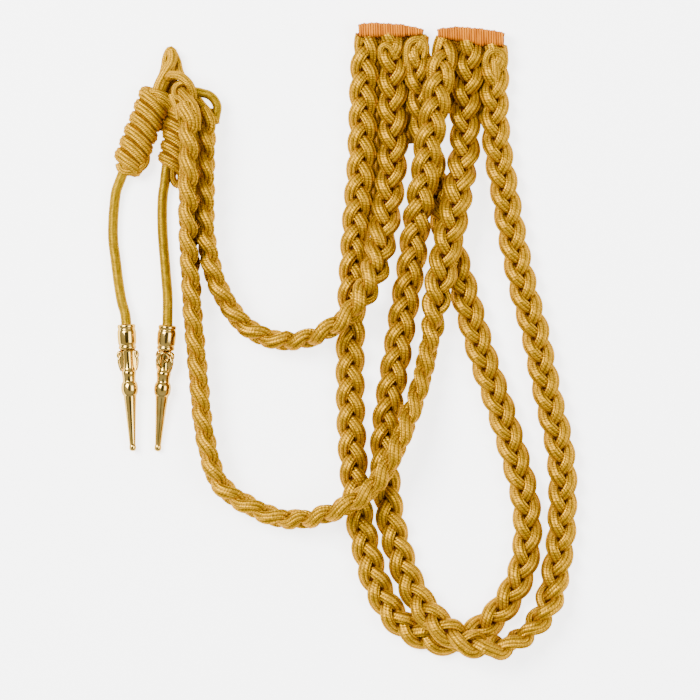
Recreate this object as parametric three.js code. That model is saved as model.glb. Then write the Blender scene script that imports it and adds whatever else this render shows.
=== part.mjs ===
// A gold cord aiguillette, lying flat: four plaits sewn to two wound heads, with two knots and two metal tags.
// Millimetres. The origin is under the middle of the left head, +Y points up the plaits and +Z is up.
import * as THREE from 'three';

// Sizes of the plaits
const PLAIT_WIDTH = 17;
const PLAIT_THICKNESS = 11.4;
const PLAIT_TURN = 46;
const PLAIT_END_WIDTH = 14.2;
const PLAIT_END_LENGTH = 40;
const STRAND_DIAMETER = 6.8;
const PLAIT_CORE_DIAMETER = 6.4;
const STRANDS_IN_PLAIT = 3;

// Sizes of the other pieces
const HEAD_WIDTH = 39.6;
const HEAD_DEPTH = 9;
const HEAD_THICKNESS = 12;
const RIGHT_HEAD_WIDTH = 40.8;
const LEFT_KNOT_WIDTH = 19.8;
const RIGHT_KNOT_WIDTH = 18;
const KNOT_THICKNESS = 13.4;
const KNOT_WINDINGS = 6;
const KNOT_GROOVE = 1.3;
const WINDING_SHOULDER = 0.28;
const BUTTON_LOOP_DIAMETER = 5.4;
const INNER_LOOP_DIAMETER = 3.8;
const LINK_DIAMETER = 5.4;
const END_RING_DIAMETER = 14.4;
const END_RING_THICKNESS = 3.8;
const KNOT_END_DIAMETER = 4.8;
const TAG_CORD_DIAMETER = 6.2;
const TAG_DIAMETER = 11.2;
const TAG_LENGTH = 76.5;

// Clearances: between plaits that cross, and between the knots and the table
const LIFT_CLEARANCE = 0.5;
const KNOT_CLEARANCE = 0.1;

// Fineness of the meshes
// Directions in a plait's section, in degrees, that meet the outsides and the tops of its strands
const PLAIT_CORNERS = [0, 40, 75, 105, 140, 180, 220, 255, 285, 320];
const STEPS_PER_TURN = 6;
const CROSSING_HEIGHT = Math.sin(Math.PI / 3);
const CORD_SIDES = 8;
const LOOP_SIDES = 6;
const KNOT_SIDES = 10;
const TAG_SIDES = 10;
const RING_STEPS = 12;
const BUTTON_LOOP_STEPS = 18;
const INNER_LOOP_STEPS = 8;
const LINK_STEPS = 8;
const KNOT_END_STEPS = 4;
const TAG_CORD_STEPS = 13;
const SAMPLES_PER_POINT = 16;

// Places of the heads, knots, ring and tags, as points on their middle lines
const RIGHT_HEAD_PLACE = new THREE.Vector3(48, -4.2, 0);
const KNOT_HEIGHT = KNOT_THICKNESS / 2 + KNOT_CLEARANCE;
const LEFT_KNOT_TOP = new THREE.Vector3(-142.2, -39.4, KNOT_HEIGHT);
const LEFT_KNOT_END = new THREE.Vector3(-158, -82.9, KNOT_HEIGHT);
const RIGHT_KNOT_TOP = new THREE.Vector3(-122.9, -42.6, KNOT_HEIGHT);
const RIGHT_KNOT_END = new THREE.Vector3(-131.4, -83.1, KNOT_HEIGHT);
const END_RING_PLACE = new THREE.Vector3(-124.2, -37.8, 20);
const LEFT_TAG_TOP = new THREE.Vector3(-159, -176.4, 6);
const LEFT_TAG_END = new THREE.Vector3(-155.1, -252.6, 3.9);
const RIGHT_TAG_TOP = new THREE.Vector3(-134.1, -177, 8.3);
const RIGHT_TAG_END = new THREE.Vector3(-140.4, -253.2, 2.2);

// Routes of the plaits. Columns: x, y, level (0 on the table, 1 over another plait), roll in degrees.
const LEFT_LOOP_ROUTE = [
  [-14.5, -5.2, 0, 0], [-16.4, -27, 0, 0], [-17.2, -54, 0, 0], [-17.9, -81, 0, 0],
  [-20.4, -111, 0, 0], [-22.4, -141, 0, 0], [-24, -174, 0, 0], [-24.5, -210, 0, 0],
  [-23.5, -246, 0, 0], [-20.5, -282, 0, 0], [-15.5, -309, 0, 0], [-8.5, -333, 0, 0],
  [3, -353, 0, 0], [18.5, -363.5, 0, 0], [35.5, -367, 0, 0], [52, -361, 0, 0],
  [67, -347, 0, 0], [78, -327, 0, 0], [82, -305, 0, 0], [80.5, -281, 0, 0],
  [74, -255, 0, 0], [65, -225, 0, 0], [56, -199, 0, 0], [49, -175, 0, 0],
  [42, -150, 0, 0], [35, -126, 0, 0], [29, -102, 0, 0], [23.5, -77, 0, 0],
  [19, -54, 0, 0], [17.4, -33, 0, 0], [16, -18, 0, 0], [15.5, -5.2, 0, 0],
];
const RIGHT_LOOP_ROUTE = [
  [33, -8, 0, 0], [31.5, -17, 0.35, 0], [29.5, -27, 0.8, 0], [27.5, -39, 1, 0],
  [25, -55, 1.03, 0], [22, -71, 1.03, 0], [20.5, -85, 1.03, 0], [17.5, -102, 0.95, 0],
  [16, -111, 0.65, 0], [14.5, -121, 0.25, 0], [12.5, -139, 0, 0], [9.5, -157, 0, 0],
  [6.5, -175, 0, 0], [4, -192, 0, 0], [0.5, -213, 0, 0], [-2.5, -234, 0, 0],
  [-4, -255, 0, 0], [-2.5, -275, 0, 0], [0, -295, 0, 0], [5, -314, 0, 0],
  [11, -331, 0, 0], [18.5, -344.5, 0.4, 0], [27.5, -354.5, 0.9, 10], [40, -364, 1.05, 35],
  [53.5, -369.5, 0.95, 58], [60.5, -370.8, 0.76, 70], [68.5, -370.2, 0.48, 80], [80, -365, 0.12, 85],
  [89.5, -354.5, 0, 70], [95, -341, 0, 40], [99, -324, 0, 10], [102, -306, 0, 0],
  [103, -287, 0, 0], [103, -267, 0, 0], [100.5, -246, 0, 0], [95.5, -225, 0, 0],
  [90.5, -201, 0, 0], [86, -179, 0, 0], [81, -161, 0, 0], [76, -139, 0, 0],
  [72, -119, 0, 0], [68, -95, 0, 0], [64.6, -75, 0, 0], [62.6, -57, 0, 0],
  [62.1, -36, 0, 0], [63, -10.4, 0, 0],
];
const LEFT_FRONT_ROUTE = [
  [0.5, -5.5, 0, 0], [0.6, -27, 0, 0], [0.4, -48, 0, 0], [1.4, -66, 0, 0],
  [-0.1, -87, 0, 0], [-2.6, -108, 0.08, 5], [-5.6, -128, 0.45, 22], [-9, -144, 0.86, 45],
  [-16, -159, 1.05, 68], [-25, -170.5, 1.05, 86], [-36.5, -179, 0.9, 90], [-50, -185, 0.35, 90],
  [-63, -186.5, 0, 90], [-76, -184, 0, 90], [-89, -176, 0, 90], [-99, -162.5, 0, 90],
  [-105.5, -149, 0, 90], [-109, -135, 0, 90], [-110.4, -120, 0, 90], [-110.4, -102, 0, 90],
  [-110.4, -84, 0, 90], [-109.9, -66, 0, 90], [-109.4, -50, 0, 90],
];
const RIGHT_FRONT_ROUTE = [
  [48, -10.1, 0, 0], [46.4, -30, 0, 0], [44.4, -48, 0, 0], [44.5, -69, 0.05, 0],
  [42.5, -83, 0.4, 0], [40, -96, 0.85, 0], [38, -109, 1.05, 0], [33.5, -129, 1.05, 0],
  [30, -149, 0.9, 20], [28, -161, 0.45, 45], [26, -174, 0.05, 70], [22.5, -191, 0, 88],
  [19, -207, 0, 90], [14.5, -222, 0.3, 90], [8.5, -238, 0.8, 90], [2, -253, 1.05, 90],
  [-6, -267, 1.1, 90], [-16, -278, 1.1, 90], [-29.5, -286, 1.05, 90], [-44, -291.5, 0.5, 90],
  [-57, -293.5, 0.05, 90], [-70, -292, 0, 90], [-83.5, -286, 0, 90], [-95.5, -279, 0, 90],
  [-104.5, -269, 0, 90], [-109.5, -253, 0, 90], [-113, -234, 0, 90], [-115, -213, 0, 90],
  [-117, -191, 0, 90], [-119, -169, 0, 90], [-120.6, -147, 0.1, 90], [-121.6, -126, 0.4, 90],
  [-121.6, -105, 0.85, 90], [-121.1, -84, 1.15, 90], [-121.1, -63, 1.12, 90], [-122.1, -45.4, 1.09, 90],
];

// Routes of the single cords. Columns: x, y, z.
const BUTTON_LOOP_ROUTE = [
  [-141.6, -38.6, 6.9], [-140, -32.8, 6.2], [-137.7, -27.6, 5.2], [-136, -22.2, 4.2],
  [-135.3, -16.8, 3.4], [-133.8, -12.9, 2.9], [-131.7, -11.9, 2.8], [-129.3, -14.4, 3],
  [-127.8, -19.2, 3.6], [-126.9, -24, 5], [-124.8, -28.8, 8], [-121.8, -32.7, 11.2],
  [-119.1, -36.3, 12.8], [-116.6, -37.2, 13],
];
const INNER_LOOP_ROUTE = [
  [-137, -40, 8.4], [-135.2, -32, 8.8], [-132.9, -25.8, 8.4], [-131.4, -20.4, 7.9],
  [-131.1, -16.2, 7.6],
];
const LINK_RING_ROUTE = [
  [-115.6, -37.5, 13], [-112.8, -38.2, 12.4], [-109.2, -39.2, 11.4], [-106.2, -41.7, 10.4],
  [-104.4, -45, 9.4], [-104.2, -47.4, 8.7], [-104.6, -49.5, 8.2],
];
const LEFT_TAG_CORD_ROUTE = [
  [-160.1, -83.5, 6.8], [-161.5, -87, 5.7], [-163.5, -92, 4.6], [-165, -96, 3.8],
  [-166, -102, 3.3], [-167, -114, 3.2], [-167, -126, 3.2], [-165.5, -138, 3.2],
  [-164, -150, 3.3], [-162, -162, 4.3], [-159.7, -170, 5.8], [-159, -175.8, 6],
];
const RIGHT_TAG_CORD_ROUTE = [
  [-134.9, -83.4, 6.8], [-135.5, -88, 5.8], [-136, -92.5, 4.7], [-137, -98, 3.7],
  [-137.5, -105.5, 3.2], [-137.5, -115, 3.2], [-137, -126, 3.2], [-136, -138, 3.3],
  [-135, -150, 3.8], [-134.2, -159.5, 5.4], [-134, -168.5, 8], [-134.1, -176.3, 8.3],
];
const KNOT_END_ROUTE = [
  [-129.2, -84.9, 6.3], [-129.2, -88, 5.2], [-129.4, -93, 4],
];

// Cross sections along a wound head. Columns: share of its width, lower and upper edge as shares of its depth.
const LEFT_HEAD_SECTIONS = [
  [-0.5, -0.42, 0.34], [-0.47, -0.5, 0.44], [-0.3, -0.5, 0.53],
  [0.15, -0.48, 0.42], [0.46, -0.36, 0.12], [0.5, -0.26, 0.06],
];
const RIGHT_HEAD_SECTIONS = [
  [-0.5, -0.06, 0.5], [-0.46, -0.1, 0.6], [-0.2, -0.26, 0.73],
  [0.14, -0.6, 0.6], [0.46, -0.64, 0.36], [0.5, -0.58, 0.28],
];
const HEAD_CORNER = 2.4;
const HEAD_CORNER_SHARE = 0.4;
const HEAD_END_HEIGHT = 0.86;

// Outline of a metal tag, from its rim to its tip.
// Columns: share of its length, half width as a share of half its diameter, and that of the scrolls at its sides.
const TAG_SECTIONS = [
  [0, 0.92, 0.92], [0.035, 0.94, 0.94], [0.05, 1, 1], [0.165, 1, 1], [0.175, 0.9, 0.9],
  [0.2, 0.9, 0.9], [0.215, 0.59, 1.1], [0.35, 0.59, 1.12], [0.37, 0.68, 0.68], [0.44, 0.62, 0.62],
  [0.46, 0.76, 0.76], [0.505, 0.88, 0.88], [0.55, 0.76, 0.76], [0.57, 0.66, 0.66], [0.94, 0.31, 0.31],
  [0.96, 0.36, 0.36], [0.985, 0.32, 0.32], [1, 0.16, 0.16],
];
const SCROLL_SHARPNESS = 4;
const RIGHT_SCROLL_TURN = THREE.MathUtils.degToRad(35);

const UP = new THREE.Vector3(0, 0, 1);

const goldThread = new THREE.MeshStandardMaterial({ color: 0xc89b32, roughness: 0.5, metalness: 0.5 });
const orangeThread = new THREE.MeshStandardMaterial({ color: 0xe6963c, roughness: 0.75, metalness: 0 });
const goldCord = new THREE.MeshStandardMaterial({ color: 0xb8891f, roughness: 0.45, metalness: 0.5 });
const polishedGold = new THREE.MeshStandardMaterial({ color: 0xdcb45a, roughness: 0.18, metalness: 1 });

// One value of a smooth line through four neighbouring values
function smoothValue(before, from, to, after, share) {
  const slope = to - before;
  const bend = 2 * before - 5 * from + 4 * to - after;
  const twist = 3 * (from - to) + after - before;
  return from + 0.5 * share * (slope + share * (bend + share * twist));
}

function smoothRow(rows, position) {
  const index = Math.min(Math.floor(position), rows.length - 2);
  const before = rows[Math.max(index - 1, 0)];
  const after = rows[Math.min(index + 2, rows.length - 1)];
  const columns = rows[index].map((value, column) => (
    smoothValue(before[column], value, rows[index + 1][column], after[column], position - index)
  ));
  return columns;
}

// Half the height of a plait that lies rolled: its lowest strand is the one at its side or one at a crossing
function halfHeight(roll) {
  const toSide = 0.5 * (PLAIT_WIDTH - STRAND_DIAMETER) * Math.abs(Math.sin(roll));
  const toCrossing = 0.5 * toSide + 0.5 * (PLAIT_THICKNESS - STRAND_DIAMETER) * Math.abs(Math.cos(roll));
  return 0.5 * STRAND_DIAMETER + Math.max(toSide, toCrossing);
}

// The middle line of a plait, walked by distance
class PlaitLine {
  constructor(route) {
    this.samples = [];
    const count = (route.length - 1) * SAMPLES_PER_POINT;
    for (let step = 0; step <= count; step += 1) {
      const [x, y, level, degrees] = smoothRow(route, step / SAMPLES_PER_POINT);
      const roll = THREE.MathUtils.degToRad(degrees);
      const lift = Math.max(level, 0) * (PLAIT_THICKNESS + LIFT_CLEARANCE);
      this.samples.push({ point: new THREE.Vector3(x, y, halfHeight(roll) + lift), roll, distance: 0 });
    }
    for (let step = 1; step <= count; step += 1) {
      const last = this.samples[step - 1];
      this.samples[step].distance = last.distance + last.point.distanceTo(this.samples[step].point);
    }
    this.length = this.samples[count].distance;
  }

  // Middle point, direction, sideways and upward axes at a distance along the line
  at(distance) {
    const last = this.samples.length - 2;
    const found = this.samples.findIndex((sample) => sample.distance > distance) - 1;
    const index = THREE.MathUtils.clamp(found < 0 ? last : found, 0, last);
    const [from, to] = [this.samples[index], this.samples[index + 1]];
    const share = (distance - from.distance) / (to.distance - from.distance);
    const point = from.point.clone().lerp(to.point, share);
    const behind = this.samples[Math.max(index - 1, 0)].point;
    const ahead = this.samples[Math.min(index + 2, last + 1)].point;
    const direction = ahead.clone().sub(behind).normalize();
    const roll = from.roll + share * (to.roll - from.roll);
    const flatSide = direction.clone().cross(UP).normalize();
    const flatUp = flatSide.clone().cross(direction);
    const side = flatSide.clone().multiplyScalar(Math.cos(roll)).addScaledVector(flatUp, Math.sin(roll));
    const up = flatUp.multiplyScalar(Math.cos(roll)).addScaledVector(flatSide, -Math.sin(roll));
    return { point, direction, side, up };
  }
}

// Where the strands of a plait lie in its cross section: they weave from side to side and from top to bottom
function strandPlaces(width, angle) {
  const places = [];
  for (let strand = 0; strand < STRANDS_IN_PLAIT; strand += 1) {
    const phase = angle + 2 * Math.PI * strand / STRANDS_IN_PLAIT;
    const sideways = 0.5 * (width - STRAND_DIAMETER) * Math.sin(phase);
    const upward = 0.5 * (PLAIT_THICKNESS - STRAND_DIAMETER) * Math.sin(2 * phase) / CROSSING_HEIGHT;
    places.push(new THREE.Vector2(sideways, upward));
  }
  return places;
}

// How far the strands reach from the middle of a plait in one direction of its cross section
function reach(places, direction) {
  const radius = STRAND_DIAMETER / 2;
  return places.reduce((farthest, place) => {
    const along = place.dot(direction);
    const room = radius ** 2 - place.lengthSq() + along ** 2;
    return room > 0 ? Math.max(farthest, along + Math.sqrt(room)) : farthest;
  }, PLAIT_CORE_DIAMETER / 2);
}

class RouteCurve extends THREE.Curve {
  constructor(route) {
    super();
    this.route = route;
  }

  getPoint(share, target = new THREE.Vector3()) {
    return target.set(...smoothRow(this.route, share * (this.route.length - 1)));
  }
}

function regularSection(diameter, sides) {
  const corners = [];
  for (let side = 0; side < sides; side += 1) {
    const angle = 2 * Math.PI * side / sides;
    corners.push(new THREE.Vector2(Math.cos(angle), Math.sin(angle)).multiplyScalar(diameter / 2));
  }
  return new THREE.Shape(corners);
}

function tube(curve, diameter, sides, steps) {
  const section = regularSection(diameter, sides);
  return new THREE.ExtrudeGeometry(section, { extrudePath: curve, steps, bevelEnabled: false });
}

// A closed body through rings of points, each with as many points as the last
function loft(rings) {
  const sides = rings[0].length;
  const points = rings.flat();
  const index = [];
  for (let ring = 0; ring < rings.length - 1; ring += 1) {
    for (let side = 0; side < sides; side += 1) {
      const near = ring * sides + side;
      const next = ring * sides + (side + 1) % sides;
      index.push(near, next, next + sides, near, next + sides, near + sides);
    }
  }
  const lastRing = (rings.length - 1) * sides;
  for (let side = 1; side < sides - 1; side += 1) {
    index.push(0, side + 1, side);
    index.push(lastRing, lastRing + side, lastRing + side + 1);
  }
  const geometry = new THREE.BufferGeometry().setFromPoints(points);
  geometry.setIndex(index);
  geometry.computeVertexNormals();
  return geometry;
}

// Axes of a straight piece: along it, level across it, and upward
function axesOf(start, end) {
  const along = end.clone().sub(start).normalize();
  const across = UP.clone().cross(along).normalize();
  const upward = along.clone().cross(across);
  return { along, across, upward };
}

function mesh(name, geometry, material) {
  const piece = new THREE.Mesh(geometry, material);
  piece.name = name;
  return piece;
}

// A plait: one body with the lobes of its three strands
function plait(name, route) {
  const line = new PlaitLine(route);
  const steps = Math.round(STEPS_PER_TURN * line.length / PLAIT_TURN);
  const rings = [];
  for (let step = 0; step <= steps; step += 1) {
    const distance = line.length * step / steps;
    const toEnd = Math.min(distance, line.length - distance);
    const fullWidth = THREE.MathUtils.smoothstep(toEnd, 0, PLAIT_END_LENGTH);
    const width = THREE.MathUtils.lerp(PLAIT_END_WIDTH, PLAIT_WIDTH, fullWidth);
    const places = strandPlaces(width, Math.PI / 6 + 2 * Math.PI * step / STEPS_PER_TURN);
    const { point, side, up } = line.at(distance);
    rings.push(PLAIT_CORNERS.map((degrees) => {
      const angle = THREE.MathUtils.degToRad(degrees);
      const corner = new THREE.Vector2(width * Math.cos(angle), PLAIT_THICKNESS * Math.sin(angle)).normalize();
      corner.multiplyScalar(reach(places, corner));
      return point.clone().addScaledVector(side, corner.x).addScaledVector(up, corner.y);
    }));
  }
  return mesh(name, loft(rings.reverse()), goldThread);
}

// A head: thread wound over the plait ends, flat underneath
function head(name, width, sections) {
  const top = HEAD_THICKNESS;
  const rings = sections.map(([along, lower, upper], index) => {
    const atEnd = index === 0 || index === sections.length - 1;
    const height = atEnd ? top * HEAD_END_HEIGHT : top;
    const [front, back] = [lower * HEAD_DEPTH, upper * HEAD_DEPTH];
    const corner = Math.min(HEAD_CORNER, HEAD_CORNER_SHARE * (back - front));
    const outline = [
      [front + corner, 0], [back - corner, 0], [back, corner], [back, height - corner],
      [back - corner, height], [front + corner, height], [front, height - corner], [front, corner],
    ];
    return outline.map(([y, z]) => new THREE.Vector3(along * width, y, z));
  });
  return mesh(name, loft(rings), orangeThread);
}

// A knot: windings of the cord around itself, oval in section
function knot(name, width, start, end) {
  const { across, upward } = axesOf(start, end);
  const groove = 1 - 2 * KNOT_GROOVE / width;
  const places = [[0, groove]];
  for (let winding = 0; winding < KNOT_WINDINGS; winding += 1) {
    places.push([(winding + WINDING_SHOULDER) / KNOT_WINDINGS, 1]);
    places.push([(winding + 1 - WINDING_SHOULDER) / KNOT_WINDINGS, 1]);
    places.push([(winding + 1) / KNOT_WINDINGS, groove]);
  }
  const rings = places.map(([share, scale]) => {
    const middle = start.clone().lerp(end, share);
    const ring = [];
    for (let side = 0; side < KNOT_SIDES; side += 1) {
      const angle = 2 * Math.PI * (side + 0.5) / KNOT_SIDES;
      const sideways = 0.5 * width * scale * Math.cos(angle);
      const height = 0.5 * KNOT_THICKNESS * scale * Math.sin(angle);
      ring.push(middle.clone().addScaledVector(across, sideways).addScaledVector(upward, height));
    }
    return ring;
  });
  return mesh(name, loft(rings), goldThread);
}

// A turned metal tag with a raised scroll on two opposite sides of its upper part
function tag(name, start, direction, scrollTurn) {
  const end = start.clone().addScaledVector(direction, TAG_LENGTH);
  const { across, upward } = axesOf(start, end);
  const rings = TAG_SECTIONS.map(([along, body, scroll]) => {
    const middle = start.clone().lerp(end, along);
    const ring = [];
    for (let side = 0; side < TAG_SIDES; side += 1) {
      const angle = 2 * Math.PI * side / TAG_SIDES;
      const atScroll = Math.abs(Math.cos(angle - scrollTurn)) ** SCROLL_SHARPNESS;
      const radius = 0.5 * TAG_DIAMETER * THREE.MathUtils.lerp(body, scroll, atScroll);
      const point = middle.clone().addScaledVector(across, radius * Math.cos(angle));
      ring.push(point.addScaledVector(upward, radius * Math.sin(angle)));
    }
    return ring;
  });
  return mesh(name, loft(rings), polishedGold);
}

function cord(name, route, diameter, sides, steps, material) {
  return mesh(name, tube(new RouteCurve(route), diameter, sides, steps), material);
}

function endRing() {
  const middle = 0.5 * (END_RING_DIAMETER - END_RING_THICKNESS);
  const geometry = new THREE.TorusGeometry(middle, END_RING_THICKNESS / 2, LOOP_SIDES, RING_STEPS);
  const ring = mesh('right_end_ring', geometry, goldThread);
  ring.position.copy(END_RING_PLACE);
  return ring;
}

function tagDirection(start, end) {
  return end.clone().sub(start).normalize();
}

const aiguillette = new THREE.Group();

const rightHead = head('right_head', RIGHT_HEAD_WIDTH, RIGHT_HEAD_SECTIONS);
rightHead.position.copy(RIGHT_HEAD_PLACE);
aiguillette.add(head('left_head', HEAD_WIDTH, LEFT_HEAD_SECTIONS), rightHead);

aiguillette.add(plait('left_loop', LEFT_LOOP_ROUTE));
aiguillette.add(plait('right_loop', RIGHT_LOOP_ROUTE));
aiguillette.add(plait('left_front', LEFT_FRONT_ROUTE));
aiguillette.add(plait('right_front', RIGHT_FRONT_ROUTE));

aiguillette.add(cord('button_loop', BUTTON_LOOP_ROUTE, BUTTON_LOOP_DIAMETER, LOOP_SIDES, BUTTON_LOOP_STEPS, goldThread));
aiguillette.add(cord('button_loop_inner', INNER_LOOP_ROUTE, INNER_LOOP_DIAMETER, LOOP_SIDES, INNER_LOOP_STEPS, goldThread));
aiguillette.add(cord('link_ring', LINK_RING_ROUTE, LINK_DIAMETER, LOOP_SIDES, LINK_STEPS, goldCord));
aiguillette.add(endRing());

aiguillette.add(knot('left_knot', LEFT_KNOT_WIDTH, LEFT_KNOT_TOP, LEFT_KNOT_END));
aiguillette.add(knot('right_knot', RIGHT_KNOT_WIDTH, RIGHT_KNOT_TOP, RIGHT_KNOT_END));
aiguillette.add(cord('right_knot_end', KNOT_END_ROUTE, KNOT_END_DIAMETER, LOOP_SIDES, KNOT_END_STEPS, goldThread));

aiguillette.add(cord('left_tag_cord', LEFT_TAG_CORD_ROUTE, TAG_CORD_DIAMETER, CORD_SIDES, TAG_CORD_STEPS, goldCord));
aiguillette.add(cord('right_tag_cord', RIGHT_TAG_CORD_ROUTE, TAG_CORD_DIAMETER, CORD_SIDES, TAG_CORD_STEPS, goldCord));
const leftDirection = tagDirection(LEFT_TAG_TOP, LEFT_TAG_END);
const rightDirection = tagDirection(RIGHT_TAG_TOP, RIGHT_TAG_END);
aiguillette.add(tag('left_tag', LEFT_TAG_TOP, leftDirection, 0));
aiguillette.add(tag('right_tag', RIGHT_TAG_TOP, rightDirection, RIGHT_SCROLL_TURN));

export default aiguillette;
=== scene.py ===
"""Looks of a gold cord aiguillette lying flat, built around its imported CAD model. Metres, +Z up."""

import math

import bpy
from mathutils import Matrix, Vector


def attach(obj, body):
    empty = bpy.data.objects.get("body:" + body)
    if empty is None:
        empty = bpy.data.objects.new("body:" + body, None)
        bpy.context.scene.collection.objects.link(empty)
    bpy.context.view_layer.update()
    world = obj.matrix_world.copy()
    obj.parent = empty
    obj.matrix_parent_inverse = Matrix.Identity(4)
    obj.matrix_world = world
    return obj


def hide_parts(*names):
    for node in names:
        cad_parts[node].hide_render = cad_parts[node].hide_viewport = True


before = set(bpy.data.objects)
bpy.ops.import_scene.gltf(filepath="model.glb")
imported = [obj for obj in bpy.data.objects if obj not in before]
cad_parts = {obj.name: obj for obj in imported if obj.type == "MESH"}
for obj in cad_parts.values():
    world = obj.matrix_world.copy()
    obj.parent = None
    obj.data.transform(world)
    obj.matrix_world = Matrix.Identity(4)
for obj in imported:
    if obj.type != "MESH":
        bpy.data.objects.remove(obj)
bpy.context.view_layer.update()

# Camera: straight above the middle of the picture
PICTURE_MIDDLE = (-0.0246, -0.192)
PICTURE_WIDTH = 0.42
CAMERA_HEIGHT = 2.0
SENSOR_WIDTH = 36.0
FOCUS_HEIGHT = 0.008

# Sizes of the plaits
PLAIT_WIDTH = 0.0192
FRONT_PLAIT_WIDTH = 0.0202
PLAIT_END_WIDTH = 0.0162
PLAIT_END_LENGTH = 0.02
PLAIT_THICKNESS = 0.0114
PLAIT_TURN = 0.046
RIGHT_LOOP_TURN = 0.0459
STRAND_DIAMETER = 0.0066
LIFT_CLEARANCE = 0.0005
RIBBON_EDGE_ROOM = 0.0004
ROLLED_CORNER_ROOM = 0.0013
STRANDS_IN_PLAIT = 3
SAMPLES_PER_POINT = 16
PATH_STEP = 0.00125

# Sizes of the three ribbons and the core of a plait. The depth of a rib and its number of points are the
# same on every ribbed ribbon.
RIBBON_WIDTH = 0.0084
RIBBON_THICKNESS = 0.0058
RIBBON_RIBS = 8
RIB_DEPTH = 0.18
POINTS_PER_RIB = 4
EDGE_TILT = math.radians(38)
ROLLED_EDGE_TILT = math.radians(76)
ROLLED_THICKNESS_SHARE = 0.35
CORE_WIDTH = 0.0085
CORE_THICKNESS = 0.003
CORE_SIDES = 8

# Sizes of the heads
HEAD_WIDTH = 0.0396
RIGHT_HEAD_WIDTH = 0.0408
HEAD_DEPTH = 0.009
HEAD_THICKNESS = 0.012
HEAD_THREAD = 0.0015
HEAD_THREAD_OVERLAP = 1.12
HEAD_THREAD_SIDES = 8
HEAD_STEPS_PER_TURN = 28
HEAD_SQUARENESS = 0.55
HEAD_CORE_SIDES = 24
HEAD_CORE_INSET_SHARE = 0.6
HEAD_CORE_SHARES = (-0.485, -0.3, -0.1, 0.1, 0.3, 0.485)
LEFT_HEAD_PLACE = Vector((0, 0, 0.0003))
RIGHT_HEAD_PLACE = Vector((0.048, -0.0042, 0.0003))

# Sizes of the knots, loops and cords
LEFT_KNOT_WIDTH = 0.0214
RIGHT_KNOT_WIDTH = 0.019
KNOT_THICKNESS = 0.0134
KNOT_WINDINGS = 6
KNOT_SLANT = 0.0019
KNOT_BEND = 0.5
KNOT_END_TURNS = 0.9
KNOT_END_NARROWING = 0.3
KNOT_RIBBON_THICKNESS = 0.0054
KNOT_STEPS_PER_TURN = 48
KNOT_WINDING_OVERLAP = 1.02
KNOT_EDGE_SHADE = 0.5
KNOT_UNEVENNESS = 0.02
KNOT_UNEVENNESS_RATE = 2.3
KNOT_CORE_INSET_SHARE = 1.3
KNOT_CORE_SIDES = 24
KNOT_HEIGHT = 0.0068
LINK_DIAMETER = 0.0054
END_RING_DIAMETER = 0.0144
END_RING_THICKNESS = 0.0038
END_RING_STEPS = 64
END_RING_RIBS = 6
TAG_CORD_DIAMETER = 0.0062
ROUND_CORD_SIDES = 24
CORD_STEP = 0.001

# How far out a ribbon counts as lying, which sets its painted shade: painted dark red-brown shade up to 0.3,
# all gold from 0.62 on.
# A fold counts as lying lower at its edges than in its middle, so its edges get painted shade.
AT_SURFACE = 1.0
PAINTED_SHADE_DEPTH = 0.42
FOLD_EDGE_SHADE = 0.3

# Sizes of the dark backs, sheets of painted shadow in the gaps between parts, and the heights of their middle
# lines
HEAD_SHADOW_SHEET_WIDTH = 0.013
HEAD_SHADOW_SHEET_HEIGHT = 0.0046
KNOT_SHADOW_SHEET_HEIGHT = 0.005
GAP_SHADOW_SHEET_WIDTH = 0.008
GAP_SHADOW_SHEET_HEIGHT = 0.0034
SHADOW_SHEET_THICKNESS = 0.003

# Sizes of the tags and of the raised scrolls on them
TAG_DIAMETER = 0.0112
TAG_LENGTH = 0.0765
TAG_SIDES = 72
TAG_ROWS_PER_SECTION = 3
SMALLEST_TAG_SHARE = 0.02
SCROLL_SHARPNESS = 36
SCROLL_STEP = 0.0004
SCROLL_SIDES = 12
SIDE_SCROLL_WIDTH = 0.0026
SIDE_SCROLL_THICKNESS = 0.0018
FRONT_SCROLL_WIDTH = 0.0016
FRONT_SCROLL_THICKNESS = 0.0014
RIGHT_SCROLL_TURN = math.radians(35)

# Fine thread on the ribbons and cords: distance from thread to thread, and its slant in threads
THREAD_PITCH = 0.0012
THREAD_SLANT = 0.9
CORD_THREAD_PITCH = 0.0009
CORD_THREAD_SLANT = 0.35

# Colours, as red, green, blue and alpha
CREST_SHADED = (0.41, 0.222, 0.0, 1)
CREST_BRIGHT = (0.74, 0.38, 0.0, 1)
# Dark spots of the painted glint speckle
GLINT_SPECKLE_DARK = (0.27, 0.14, 0.004, 1)
THREAD_GAP = (0.24, 0.11, 0.002, 1)
# Painted shade in the valleys between the ribs
RIB_VALLEY_PAINTED_SHADE = (0.1, 0.04, 0.003, 1)
# Painted shade for what lies far inside a plait or knot
DEPTH_PAINTED_SHADE = (0.055, 0.011, 0.005, 1)
CORD_SHADED = (0.215, 0.125, 0.001, 1)
CORD_BRIGHT = (0.37, 0.22, 0.001, 1)
CORD_THREAD_GAP = (0.12, 0.055, 0.0, 1)
GOLD_SHEEN = (0.75, 0.5, 0.15, 1)
ORANGE_SHADED = (0.37, 0.092, 0.0, 1)
ORANGE_BRIGHT = (0.67, 0.205, 0.0, 1)
# Painted shade where two orange windings meet
ORANGE_GAP_PAINTED_SHADE = (0.12, 0.022, 0.0, 1)
METAL_SHADED = (0.46, 0.285, 0.05, 1)
METAL_BRIGHT = (0.56, 0.37, 0.09, 1)
METAL_SHEEN = (0.5, 0.3, 0.08, 1)
FLOOR_SHADED = (0.93, 0.93, 0.93, 1)
FLOOR_BRIGHT = (0.95, 0.95, 0.95, 1)
WHITE = (1, 1, 1, 1)

# The studio. Columns of the lights: name, place, power.
LIGHTS = [("left_light", (-1.1, 0.4, 1.6), 110), ("right_light", (1.2, -0.2, 1.5), 34)]
LIGHT_SIZE = 1.0
FLOOR_REACH = 6
FLOOR_GLOW = 3.2

UP = Vector((0, 0, 1))

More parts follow.
